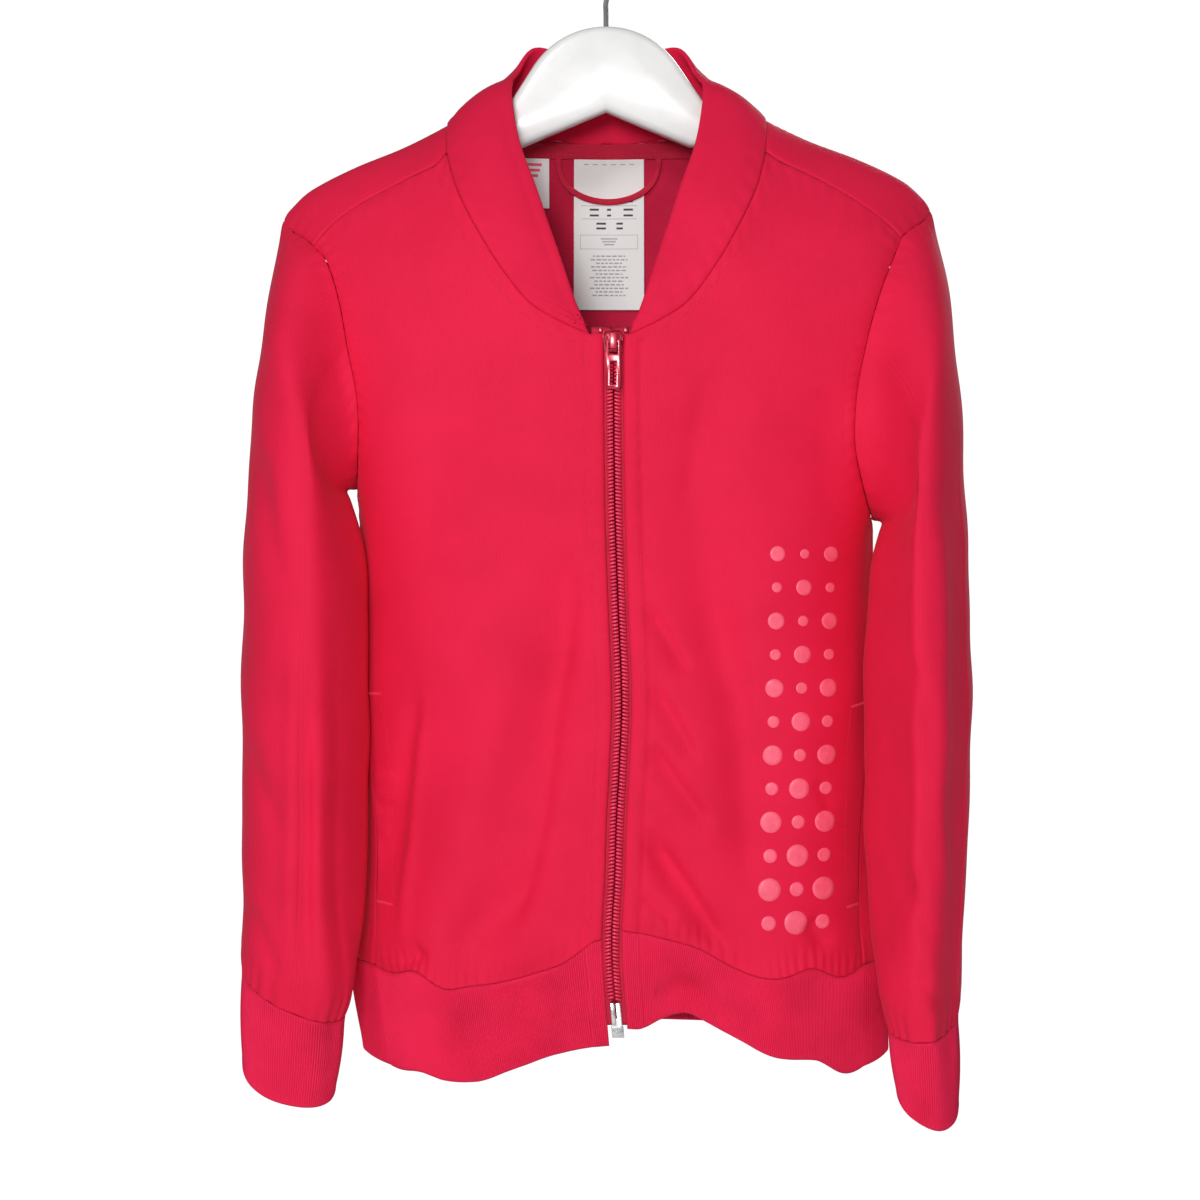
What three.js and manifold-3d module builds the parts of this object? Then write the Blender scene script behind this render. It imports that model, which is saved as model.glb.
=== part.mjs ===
// A child's track jacket, zipped up, hanging on a moulded hanger.
// Millimetres, +Z up, the front faces -Y, left and right as seen from the front.
// The origin is the point of the hook's inner arch that the rail carries.
import * as THREE from 'three';
import { mergeVertices } from 'three/addons/utils/BufferGeometryUtils.js';
import Module from 'manifold-3d';

const wasm = await Module();
wasm.setup();

// ---- thicknesses and gaps ----
const clothWall = 1.5;
const ribWall = 2;
const collarWall = 3;
const trimWall = 0.8; // labels and tapes
const layGap = 0.3; // between pieces that lie on each other
const seamHalf = 0.18; // each piece stops this far from the seam line
const mitreLimit = 2; // how far a folded seam may stretch its wall
const foldSharp = 0.3; // sharpest fold that a seam allows for
const relaxRounds = 60; // evening out of a panel's mesh

// ---- mesh counts ----
const neckCells = 8;
const shoulderCells = 6;
const armFrontCells = 8;
const armBackCells = 14;
const armBackEase = 1.4; // finer cells towards the shoulder
const sideCells = 8;
const neckBackCells = 14;
const hemRows = 3;
const collarRows = 4;
const cuffRows = 3;
const sleeveRings = 17;

// ---- body ----
const shoulderHalf = 190;
const ridgeRound = 20; // how softly the cloth turns over the shoulder
const chestReach = 70; // drop in which the chest fills out
const sectionPower = 3; // squareness of the body's sections
const sectionSteps = 240;
const sectionWide = 150;
const sectionDeep = 66;
const ridgeSlant = 0.016; // the right shoulder hangs a little higher

// height of the shoulder line by distance from the middle
const ridgeTable = [
  { x: 0, z: -70 }, { x: 60, z: -99 }, { x: 90, z: -115.5 }, { x: 116, z: -128.5 },
  { x: 145, z: -140 }, { x: 170, z: -152.5 }, { x: 180, z: -161 }, { x: 190, z: -173 },
];

// level sections: half width, middle, depth in front and behind, lean, and how
// far the side seam is carried forward
const bodyTable = [
  { z: -60, half: 190, mid: 0.5, front: 66, back: 62, lean: 0, lead: 0 },
  { z: -174, half: 190, mid: 0.5, front: 66, back: 62, lean: 0, lead: 0 },
  { z: -221, half: 178, mid: 2, front: 66, back: 62, lean: 0, lead: 0 },
  { z: -279, half: 162, mid: 4, front: 66, back: 62, lean: 0, lead: 0 },
  { z: -327, half: 149, mid: 5.5, front: 66, back: 62, lean: 0, lead: 0 },
  { z: -450, half: 150, mid: 6, front: 67, back: 62, lean: 0, lead: 0.09 },
  { z: -520, half: 148, mid: 7, front: 68, back: 61, lean: 2, lead: 0.17 },
  { z: -570, half: 151, mid: 6.5, front: 70, back: 58, lean: 5, lead: 0.215 },
  { z: -602, half: 156, mid: 7.5, front: 72, back: 56, lean: 8, lead: 0.255 },
  { z: -670, half: 150, mid: 13, front: 70, back: 54, lean: 8, lead: 0.24 },
];

// half of the neckline in front, from the collar's end to the shoulder seam
const neckTable = [
  { half: 11.3, z: -243 }, { half: 30, z: -234 }, { half: 45, z: -224 },
  { half: 59.5, z: -205.5 }, { half: 72, z: -185 }, { half: 85, z: -158 },
  { half: 91, z: -136 },
];
const neckShift = 2; // the neckline's low point stands this far to the right
const neckZipZ = -242.5;

// half of the neckline behind, from the shoulder line to the middle
const neckBackTable = [
  { half: 80, z: -119 }, { half: 60, z: -119.5 }, { half: 30, z: -120.5 },
  { half: 0, z: -121 },
];
const neckRidgeHalf = 90.5;

// forward shoulder seams, from the neck outwards
const shoulderTable = {
  left: [{ x: -91, z: -136 }, { x: -97, z: -143.5 }, { x: -112, z: -150.5 },
    { x: -134, z: -162 }, { x: -152, z: -173.5 }, { x: -167.5, z: -189.7 }],
  right: [{ x: 91, z: -136 }, { x: 98, z: -141 }, { x: 118, z: -150 },
    { x: 137, z: -160.5 }, { x: 152.5, z: -170.5 }, { x: 168.8, z: -185 }],
};

// front edges of the armholes, from the shoulder seam to the underarm
const armholeTable = {
  left: [{ x: -167.5, z: -189.7 }, { x: -160, z: -198 }, { x: -151.5, z: -224.5 },
    { x: -147.5, z: -247 }, { x: -141.5, z: -281 }, { x: -141.6, z: -304 },
    { x: -144.7, z: -327 }],
  right: [{ x: 168.8, z: -185 }, { x: 161, z: -204 }, { x: 156, z: -217 },
    { x: 148, z: -245 }, { x: 141.3, z: -286 }, { x: 144, z: -315.5 },
    { x: 155, z: -345 }],
};
const tipHalf = 187; // armhole's highest point, on the shoulder line

// top and foot of the hem band in front, from the zip to the side seam
const hemTable = {
  left: [{ z: -582.5 }, { x: -8, z: -584 }, { x: -15.5, z: -590 }, { x: -26, z: -597 },
    { x: -42, z: -602.5 }, { x: -74, z: -609 }, { x: -93, z: -611 },
    { x: -118.5, z: -602 }, { z: -601 }],
  right: [{ z: -577.5 }, { x: 19.5, z: -579 }, { x: 31.5, z: -582 }, { x: 54, z: -589 },
    { x: 77, z: -601 }, { x: 100, z: -605.5 }, { x: 124, z: -600.5 }, { z: -601 }],
};
const footTable = {
  left: [{ z: -642.5 }, { x: -12, z: -644 }, { x: -26, z: -647.5 }, { x: -42, z: -652.5 },
    { x: -58, z: -658 }, { x: -76, z: -663.5 }, { x: -96, z: -663 },
    { x: -115.5, z: -659.5 }, { z: -658 }],
  right: [{ z: -633 }, { x: 19.5, z: -633 }, { x: 31, z: -628 }, { x: 45, z: -625.5 },
    { x: 54, z: -629 }, { x: 77, z: -640.5 }, { x: 100, z: -650.5 }, { x: 130, z: -655 },
    { z: -659 }],
};
const hemBackRise = 16; // the hem is this much shorter in the middle of the back

// main folds: a soft trough (lift below 0) or ridge from one point to another
const foldTable = [
  { x: -22, z: -385, toX: -70, toZ: -590, wide: 18, lift: -5, side: 1 },
  { x: -56, z: -430, toX: -100, toZ: -600, wide: 17, lift: 3, side: 1 },
  { x: 56, z: -300, toX: 60, toZ: -420, wide: 18, lift: -2.5, side: 1 },
  { x: 50, z: -355, toX: 94, toZ: -520, wide: 17, lift: -3, side: 1 },
  { x: 26, z: -530, toX: 76, toZ: -596, wide: 13, lift: -5, side: 1 },
  { x: -40, z: -260, toX: -70, toZ: -580, wide: 24, lift: -3, side: -1 },
  { x: 50, z: -280, toX: 76, toZ: -590, wide: 22, lift: -3, side: -1 },
  { x: 4, z: -300, toX: 10, toZ: -600, wide: 26, lift: 3, side: -1 },
  { x: 46, z: -618, toX: 56, toZ: -650, wide: 20, lift: -13, side: 1 },
  { x: -50, z: -612, toX: -30, toZ: -650, wide: 18, lift: -5, side: 1 },
  { x: -92, z: -616, toX: -92, toZ: -655, wide: 18, lift: 4, side: 1 },
];
const zipFlat = { from: 13, to: 32 }; // the folds die out this near to the zip

// ---- collar: its upper edge by station of the neckline ----
const collarTable = [
  { half: 14.5, y: -62, z: -236.5, bow: 0.5 }, { half: 20.5, y: -61, z: -219, bow: 1 },
  { half: 27, y: -57, z: -199, bow: 2 }, { half: 34.5, y: -52, z: -177, bow: 3 },
  { half: 41, y: -46, z: -157, bow: 3 }, { half: 48.5, y: -36, z: -136, bow: 4 },
  { half: 53, y: -22, z: -116, bow: 4 }, { half: 55, y: -6, z: -95.5, bow: 4.5 },
  { half: 50.5, y: 11, z: -84, bow: 4.5 }, { half: 42, y: 24, z: -68, bow: 4 },
  { half: 23, y: 33, z: -70, bow: 4 }, { half: 0, y: 36, z: -71, bow: 4 },
];

// ---- sleeves: outer and inner line, front and back reach, slant and front drop ----
const sleeveTable = {
  left: [
    { outX: -187, outZ: -172.5, inX: -144.7, inZ: -327, front: -42, back: 38, drop: 0 },
    { outX: -194, outZ: -213.7, inX: -152, inZ: -329, front: -66, back: 36, drop: 0 },
    { outX: -199.4, outZ: -249, inX: -150, inZ: -336, front: -77, back: 35, drop: 0 },
    { outX: -204.6, outZ: -300.6, inX: -147.5, inZ: -360, front: -80, back: 34, drop: 0 },
    { outX: -207.5, outZ: -352, inX: -146.8, inZ: -398, front: -82, back: 32, drop: 0 },
    { outX: -209.2, outZ: -420, inX: -146.8, inZ: -452, front: -82, back: 28, drop: 3 },
    { outX: -208.7, outZ: -489, inX: -146.8, inZ: -512, front: -82, back: 20, drop: 6 },
    { outX: -207.5, outZ: -540, inX: -148, inZ: -560, front: -81, back: 8, drop: 9 },
    { outX: -206.8, outZ: -580, inX: -149, inZ: -604, front: -82, back: -6, drop: 11 },
    { outX: -205.5, outZ: -600, inX: -151, inZ: -622, front: -78, back: -10, drop: 12 },
  ],
  right: [
    { outX: 187.5, outZ: -168, inX: 155, inZ: -345, front: -44, back: 38, drop: 0 },
    { outX: 197.5, outZ: -213.8, inX: 162, inZ: -347, front: -70, back: 36, drop: 0 },
    { outX: 201, outZ: -249, inX: 162, inZ: -354, front: -84, back: 34, drop: 0 },
    { outX: 204.5, outZ: -300.6, inX: 160.5, inZ: -376, front: -90, back: 30, drop: 0 },
    { outX: 206.3, outZ: -352, inX: 159.5, inZ: -408, front: -92, back: 26, drop: 0 },
    { outX: 208.5, outZ: -420, inX: 159.5, inZ: -458, front: -92, back: 20, drop: 3 },
    { outX: 207.4, outZ: -489, inX: 159.5, inZ: -516, front: -92, back: 10, drop: 6 },
    { outX: 204, outZ: -540, inX: 161, inZ: -566, front: -92, back: -4, drop: 8 },
    { outX: 201, outZ: -592, inX: 162.5, inZ: -608, front: -92, back: -14, drop: 9 },
    { outX: 197.5, outZ: -626.5, inX: 162, inZ: -628, front: -88, back: -18, drop: 10 },
  ],
};
const cuffTable = {
  left: { outX: -205.5, outZ: -656, inX: -155, inZ: -667, front: -74, back: -12, drop: 13 },
  right: { outX: 198, outZ: -681.5, inX: 165.5, inZ: -667, front: -86, back: -18, drop: 11 },
};
const sleevePower = 3;
const sleeveSlant = 0.03; // the inner side leans away from the body towards the back
const frontTurn = 0.42; // where the shoulder seam meets the sleeve, in radians
const capRows = 2; // stations over which the armhole turns into a plain sleeve
// ridges down the sleeves: turn from the outer line, width in radians, lift
const sleeveFolds = {
  left: [{ turn: 1.9, wide: 0.25, lift: 2.5, from: 4 }, { turn: 2.3, wide: 0.2, lift: -2, from: 4 }],
  right: [{ turn: 1.45, wide: 0.35, lift: 5, from: 2 }, { turn: 0.8, wide: 0.4, lift: -3, from: 2 }],
};

// ---- zip ----
const zipTable = [
  { z: -230, x: 3.8 }, { z: -336, x: 4.7 }, { z: -392, x: 6.5 }, { z: -448, x: 8.6 },
  { z: -483, x: 7.4 }, { z: -515, x: 5.7 }, { z: -548, x: 4.7 }, { z: -580, x: 3.1 },
  { z: -605, x: 3.8 }, { z: -645, x: 7.5 },
];
const zipOpening = 5.5; // from the middle to each front's edge
const tapeNear = 0.95;
const tapeFar = { left: 12.4, right: 8.8 }; // the collar's end is nearer on the right
const tapeTop = -238.5;
const tapeFoot = -631;
const tapeLift = -(ribWall / 2 + layGap);
const tapeWall = 1;
const coilNear = 0.2;
const coilFar = 4.1;
const coilTop = -253.6;
const coilFoot = -618;
const coilFace = 0.9;
const zipSteps = 26;
const coilSteps = 22;
const sliderZ = -247;
const sliderLong = 12.4;
// half of the slider's section: across, and out from the cloth
const sliderSection = [
  { x: 6, lift: 2.8 }, { x: 6, lift: 1.2 }, { x: 5.1, lift: 1.2 }, { x: 5.1, lift: -0.6 },
  { x: 4.3, lift: -0.6 }, { x: 4.3, lift: 1.2 }, { x: 0.6, lift: 1.2 }, { x: 0.6, lift: -2.7 },
  { x: 5, lift: -2.7 }, { x: 5, lift: -4 },
];
const sliderFace = sliderSection[0].lift;
const crownWide = 4.2;
const crownSink = 0.3;
// half of the crown's arch: along the slider, and out from its face
const crownArch = [
  { z: 2.6, out: 3 }, { z: 3.2, out: 2.2 }, { z: 3.2, out: -crownSink },
  { z: 4.6, out: -crownSink }, { z: 4.6, out: 1.4 }, { z: 3.4, out: 4.3 },
];
const pullAxis = 1.5; // the pull's bar stands this far out from the slider's face
const pullHalf = 4.3;
const pullLong = 27;
const pullThick = 1.6;
const pullBar = 0.9;
const pullCorner = 1.2;
const eye = { half: 2.5, top: -0.9, foot: -7.6 };
const slot = { half: 1.6, top: -11.5, foot: -24.5 };
const stop = { near: 5.9, far: 8.3, back: -1, face: 0.6, top: -239.2, foot: -242 };
const pinNear = 0.3;
const pinFar = 3;
const pinTop = -618.3;
const pinFoot = -630.9;
const boxHalf = 3.4;
const boxTop = -631.4;
const boxFoot = -637.8;

// ---- labels, loop, pockets ----
const sagRoom = 0.8; // more room behind a panel that bends
const trimInset = clothWall / 2 + layGap + sagRoom;
const neckStrip = { half: 70, top: -122.8, foot: -129.2 };
const mainLabel = { x: -19.3, toX: 23, top: -129.6, foot: -219 };
const sizeLabel = { x: -55, toX: -34, top: -129.6, foot: -158.5 };
const loop = { mid: 1.5, half: 30, top: -129.6, sag: 25, wide: 3.5, thick: 1.2 };
const loopSteps = 18;
const loopRise = 1.15; // the loop lies this much further in where it crosses the label
const pocket = { near: 0.45, far: 0.97, top: -452, foot: -582, wall: 1, cells: 8,
  inset: { left: 2.5, right: 2.28 } };
const mouth = { top: -448, foot: -569, gap: 1.4 };

// ---- hanger ----
const dome = { radius: 50, z: -110, half: 41.8 };
const arm = { from: 56, end: 168, drop: 7, endDrop: 5, high: 26, endHigh: 13, steps: 9 };
const armSeat = { x: 128, drop: 4.4, wide: 22 }; // where the arms carry the shoulders
const archHalf = 48;
const archTop = -109;
const plateThick = 16;
const plateRound = 4;
const hookWire = 1.5;
const hookInner = 16;
const hookTurns = [200, 180, 150, 120, 90, 60, 30, 0, -30, -58];
const stemLine = [{ x: 3, z: -38 }, { x: 0, z: -45 }, { x: 0, z: -52 }, { x: 0, z: -59.6 }];
const hookSteps = 44;
const hookSides = 4;

// ---- finish ----
const paint = (color, roughness, metalness = 0) =>
  new THREE.MeshStandardMaterial({ color, roughness, metalness });
const knitRed = 0xd92a4c;
const ribRed = 0xdc2f54;
const tapeRed = 0xb5203f;
const white = 0xf2f2f0;

const jacket = new THREE.Group();
function addPiece(name, geometry, material) {
  const mesh = new THREE.Mesh(geometry, material);
  mesh.name = name;
  jacket.add(mesh);
}

// ---- small tools ----
const vec = (x, y, z) => new THREE.Vector3(x, y, z);
const clamp = THREE.MathUtils.clamp;

// smooth value of one column of a table, by another column that rises
function smoothAt(table, by, key, at) {
  const last = table.length - 1;
  const up = table[last][by] > table[0][by] ? 1 : -1;
  const t = clamp(at * up, table[0][by] * up, table[last][by] * up) * up;
  let k = 0;
  while (k < last - 1 && (t - table[k + 1][by]) * up > 0) k += 1;
  const slope = (a, b) => (table[b][key] - table[a][key]) / (table[b][by] - table[a][by]);
  const bend = (i) => slope(Math.max(i - 1, 0), Math.min(i + 1, last));
  const gap = table[k + 1][by] - table[k][by];
  const f = (t - table[k][by]) / gap;
  const f2 = f * f;
  const f3 = f2 * f;
  return (2 * f3 - 3 * f2 + 1) * table[k][key] + (f3 - 2 * f2 + f) * gap * bend(k)
    + (3 * f2 - 2 * f3) * table[k + 1][key] + (f3 - f2) * gap * bend(k + 1);
}

// points spread evenly along a smooth line through the given pairs
function spread(pairs, cells, ease = 1) {
  const rows = pairs.map((p) => ({ at: 0, a: p[0], b: p[1] }));
  const scale = sectionWide;
  for (let k = 1; k < rows.length; k += 1) {
    rows[k].at = rows[k - 1].at
      + Math.hypot((rows[k].a - rows[k - 1].a) * scale, rows[k].b - rows[k - 1].b);
  }
  const whole = rows[rows.length - 1].at;
  return Array.from({ length: cells + 1 }, (_, i) => {
    const at = whole * (1 - (1 - i / cells) ** ease);
    return [smoothAt(rows, 'at', 'a', at), smoothAt(rows, 'at', 'b', at)];
  });
}

// ---- the body's surface ----
// The section's outline by share of its quarter length: g across, h forwards.
const sectionTable = (() => {
  const rows = [{ s: 0, g: 0, h: 1 }];
  for (let k = 1; k <= sectionSteps; k += 1) {
    const turn = ((k / sectionSteps) * Math.PI) / 2;
    const g = Math.sin(turn) ** (2 / sectionPower);
    const h = Math.max(Math.cos(turn), 0) ** (2 / sectionPower);
    const was = rows[k - 1];
    const step = Math.hypot((g - was.g) * sectionWide, (h - was.h) * sectionDeep);
    rows.push({ s: was.s + step, g, h });
  }
  const whole = rows[sectionSteps].s;
  rows.forEach((row) => { row.s /= whole; });
  return rows;
})();

function lookUp(key, value) {
  const t = clamp(value, 0, 1);
  let lo = 0;
  let hi = sectionSteps;
  while (hi - lo > 1) {
    const mid = (lo + hi) >> 1;
    if (sectionTable[mid][key] > t) hi = mid; else lo = mid;
  }
  const a = sectionTable[lo];
  const b = sectionTable[hi];
  const f = (t - a[key]) / (b[key] - a[key]);
  return { s: a.s + f * (b.s - a.s), g: a.g + f * (b.g - a.g), h: a.h + f * (b.h - a.h) };
}

// share 0 is the middle of the front, 1 the side, 2 the middle of the back
function section(share) {
  const row = lookUp('s', share > 1 ? 2 - share : share);
  return { g: row.g, h: share > 1 ? -row.h : row.h };
}

const ridgeZ = (x) => smoothAt(ridgeTable, 'x', 'z', Math.abs(x)) + ridgeSlant * x;
const bodyRow = (z, key) => smoothAt(bodyTable, 'z', key, z);

// how far the folds push the cloth out at a place
function foldLift(x, z, side) {
  let lift = 0;
  foldTable.forEach((fold) => {
    if (fold.side !== side) return;
    const dx = fold.toX - fold.x;
    const dz = fold.toZ - fold.z;
    const long = dx * dx + dz * dz;
    const t = clamp(((x - fold.x) * dx + (z - fold.z) * dz) / long, 0, 1);
    const off = Math.hypot(x - fold.x - t * dx, z - fold.z - t * dz) / fold.wide;
    lift += fold.lift * Math.exp(-off * off);
  });
  if (side < 0) return lift;
  return lift * THREE.MathUtils.smoothstep(Math.abs(x - zipX(z)), zipFlat.from, zipFlat.to);
}

// A place on the body: s runs from -1 (left side) to 1 (right side), way is the
// travel from the shoulder line, down the front above 0 and down the back below.
function bodyPoint(s, way) {
  const hand = s < 0 ? -1 : 1;
  const across = Math.abs(s);
  const drop = Math.hypot(way, ridgeRound) - ridgeRound;
  const z = ridgeZ(shoulderHalf * section(across).g * hand) - drop;
  const lead = bodyRow(z, 'lead');
  const { g, h } = section(way >= 0 ? across * (1 - lead) : 2 - across * (1 + lead));
  const half = bodyRow(z, 'half');
  const deep = bodyRow(z, h >= 0 ? 'front' : 'back');
  const fill = Math.tanh(Math.abs(way) / chestReach);
  const x = bodyRow(z, 'mid') + half * g * hand;
  const outX = (hand * g * g) / half;
  const outY = (-Math.sign(h) * h * h) / deep;
  const push = (foldLift(x, z, h >= 0 ? 1 : -1) * Math.min(1, Math.abs(h) * 2))
    / Math.hypot(outX, outY);
  return vec(x + push * outX, bodyRow(z, 'lean') - deep * h * fill + push * outY, z);
}

function bodyNormal(s, way) {
  const ds = 0.012;
  const dw = 1.5;
  const a = bodyPoint(s + ds, way).sub(bodyPoint(s - ds, way));
  const b = bodyPoint(s, way + dw).sub(bodyPoint(s, way - dw));
  return b.cross(a).normalize();
}

// the place under a point given in the front view, on the front (1) or back (-1)
function bodyPlace(x, z, side = 1) {
  const g = (x - bodyRow(z, 'mid')) / bodyRow(z, 'half');
  const lead = bodyRow(z, 'lead');
  const share = lookUp('g', Math.abs(g)).s / (1 - side * lead);
  const across = Math.min(1, share) * Math.sign(g);
  const ridge = ridgeZ(shoulderHalf * section(Math.abs(across)).g * Math.sign(g));
  const drop = Math.max(0, ridge - z);
  return [across, side * Math.sqrt((drop + ridgeRound) ** 2 - ridgeRound ** 2)];
}

function onBody(x, z, side, lift) {
  const [s, way] = bodyPlace(x, z, side);
  return bodyPoint(s, way).addScaledVector(bodyNormal(s, way), lift);
}

// way of a given height along the side seam
function sideWay(z, hand) {
  const drop = ridgeZ(shoulderHalf * hand) - z;
  return Math.sqrt((drop + ridgeRound) ** 2 - ridgeRound ** 2);
}

const zipX = (z) => smoothAt(zipTable, 'z', 'x', z);

// ---- seam lines, each a list of places on the body ----
const hands = { left: -1, right: 1 };
const seams = {};
Object.entries(hands).forEach(([name, hand]) => {
  const edge = (z) => bodyPlace(zipX(z) + hand * zipOpening, z);
  const table = neckTable.map((row) => bodyPlace(
    hand * row.half + neckShift * (1 - row.half / neckRidgeHalf), row.z));
  const neckRun = spread(table, neckCells - 1);
  const shoulder = shoulderTable[name].map((row) => bodyPlace(row.x, row.z));
  shoulder[0] = neckRun[neckRun.length - 1];
  const arm = armholeTable[name].map((row) => bodyPlace(row.x, row.z));
  const armFoot = armholeTable[name][arm.length - 1].z;
  arm[0] = shoulder[shoulder.length - 1];
  arm[arm.length - 1] = [hand, sideWay(armFoot, hand)];
  const tip = [lookUp('g', tipHalf / shoulderHalf).s * hand, 0];
  const armBack = arm.slice(1).reverse().map(([s, way]) => [s, -way]);
  const hemLine = (rows) => rows.map((row, i) => {
    if (i === 0) return edge(row.z);
    if (i === rows.length - 1) return [hand, sideWay(row.z, hand)];
    return bodyPlace(row.x, row.z);
  });
  const frontCells = neckCells + shoulderCells;
  const hemZ = hemTable[name][hemTable[name].length - 1].z;
  const footZ = footTable[name][footTable[name].length - 1].z;
  const sideZ = (i) => armFoot + ((hemZ - armFoot) * i) / sideCells;
  const zipRows = armFrontCells + sideCells;
  const zipEnd = hemTable[name][0].z;
  seams[name] = {
    neck: [edge(neckZipZ), ...neckRun],
    shoulder: spread(shoulder, shoulderCells),
    arm: spread(arm, armFrontCells),
    armBack: spread([...armBack, tip, arm[0]], armBackCells, armBackEase),
    side: Array.from({ length: sideCells + 1 }, (_, i) => [hand, sideWay(sideZ(i), hand)]),
    zip: Array.from({ length: zipRows + 1 },
      (_, i) => edge(neckZipZ + ((zipEnd - neckZipZ) * i) / zipRows)),
    hem: spread(hemLine(hemTable[name]), frontCells),
    foot: spread(hemLine(footTable[name]), frontCells),
    hemZ,
    footZ,
  };
});

const backCells = neckBackCells + 2 * shoulderCells;
const neckBack = (() => {
  const half = (hand) => [
    seams[hand < 0 ? 'left' : 'right'].shoulder[0],
    [lookUp('g', neckRidgeHalf / shoulderHalf).s * hand, 0],
    ...neckBackTable.map((row) => bodyPlace(hand * row.half, row.z, -1)),
  ];
  return spread([...half(-1), ...half(1).reverse().slice(1)], neckBackCells);
})();

function backLine(leftZ, rightZ) {
  return Array.from({ length: backCells + 1 }, (_, i) => {
    const s = -1 + (2 * i) / backCells;
    const end = leftZ + ((rightZ - leftZ) * i) / backCells;
    const z = end + hemBackRise * Math.cos((s * Math.PI) / 2);
    return [s, -sideWay(z, s < 0 ? -section(-s).g : section(s).g)];
  });
}
const hemBack = backLine(seams.left.hemZ, seams.right.hemZ);
const footBack = backLine(seams.left.footZ, seams.right.footZ);

// ---- walls of cloth ----
// a closed wall through a grid of points, half its thickness to either side
function wall(points, normals, thick, closed = false) {
  const rows = points.length;
  const cols = points[0].length;
  const spots = [];
  [1, -1].forEach((side) => points.forEach((row, j) => row.forEach((p, i) => {
    const q = p.clone().addScaledVector(normals[j][i], (side * thick) / 2);
    spots.push(q.x, q.y, q.z);
  })));
  const inner = rows * cols;
  const at = (j, i, side) => side * inner + j * cols + (i % cols);
  const faces = [];
  const quad = (a, b, c, d) => faces.push(a, b, c, a, c, d);
  const across = closed ? cols : cols - 1;
  for (let j = 0; j < rows - 1; j += 1) {
    for (let i = 0; i < across; i += 1) {
      const cell = [[j, i], [j + 1, i], [j + 1, i + 1], [j, i + 1]];
      const [a, b, c, d] = cell.map(([row, col]) => points[row][col % cols]);
      if (a.distanceTo(c) > b.distanceTo(d)) cell.push(cell.shift());
      quad(...cell.map(([row, col]) => at(row, col, 0)));
      quad(...[0, 3, 2, 1].map((k) => at(...cell[k], 1)));
    }
  }
  for (let i = 0; i < across; i += 1) {
    const end = rows - 1;
    quad(at(0, i, 0), at(0, i + 1, 0), at(0, i + 1, 1), at(0, i, 1));
    quad(at(end, i, 0), at(end, i, 1), at(end, i + 1, 1), at(end, i + 1, 0));
  }
  for (let j = 0; j < rows - 1 && !closed; j += 1) {
    const end = cols - 1;
    quad(at(j, 0, 0), at(j, 0, 1), at(j + 1, 0, 1), at(j + 1, 0, 0));
    quad(at(j, end, 0), at(j + 1, end, 0), at(j + 1, end, 1), at(j, end, 1));
  }
  const geometry = new THREE.BufferGeometry();
  geometry.setAttribute('position', new THREE.Float32BufferAttribute(spots, 3));
  geometry.setIndex(faces);
  geometry.computeVertexNormals();
  return geometry;
}

// normals of a grid from its neighbours
function gridNormals(points, closed = false) {
  const rows = points.length;
  const cols = points[0].length;
  return points.map((row, j) => row.map((_, i) => {
    const i0 = closed ? (i + cols - 1) % cols : Math.max(i - 1, 0);
    const i1 = closed ? (i + 1) % cols : Math.min(i + 1, cols - 1);
    const a = points[j][i1].clone().sub(points[j][i0]);
    const b = points[Math.min(j + 1, rows - 1)][i].clone().sub(points[Math.max(j - 1, 0)][i]);
    return b.cross(a).normalize();
  }));
}

// draw one edge of a grid back from its seam, square to the seam
function drawBack(line, next, gaps, closed = false) {
  const old = line.map((p) => p.clone());
  const last = line.length - 1;
  line.forEach((p, i) => {
    const before = closed && i === 0 ? last : Math.max(i - 1, 0);
    const after = closed && i === last ? 0 : Math.min(i + 1, last);
    const along = old[after].clone().sub(old[before]).normalize();
    const inward = next[i].clone().sub(p);
    inward.addScaledVector(along, -inward.dot(along)).normalize();
    p.addScaledVector(inward, gaps[i]);
  });
}
const column = (grid, i) => grid.map((row) => row[i]);
const mirror = (grid) => grid.map((row) => row.slice().reverse());
const even = (line, gap) => line.map(() => gap);

// the wall direction that two pieces share at a seam, and where each stops
function seamFold(a, b) {
  const mean = a.clone().add(b).normalize();
  const square = Math.max(mean.dot(a), foldSharp);
  return { normal: mean.multiplyScalar(Math.min(mitreLimit, 1 / square)), gap: seamHalf / square };
}

// where a place of the grid settles between its neighbours, with no cell folded
function settled(grid, j, i) {
  const flat = (place) => new THREE.Vector2(place[0] * sectionWide, place[1]);
  const at = (dj, di) => flat(grid[j + dj][i + di]);
  const across = at(0, 1).sub(at(0, -1)).divideScalar(2);
  const down = at(1, 0).sub(at(-1, 0)).divideScalar(2);
  const a = down.lengthSq();
  const b = across.dot(down);
  const c = across.lengthSq();
  const corner = at(1, 1).sub(at(1, -1)).sub(at(-1, 1)).add(at(-1, -1));
  const spot = at(0, 1).add(at(0, -1)).multiplyScalar(a)
    .add(at(1, 0).add(at(-1, 0)).multiplyScalar(c))
    .addScaledVector(corner, -b / 2).divideScalar(2 * (a + c));
  return [spot.x / sectionWide, spot.y];
}

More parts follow.
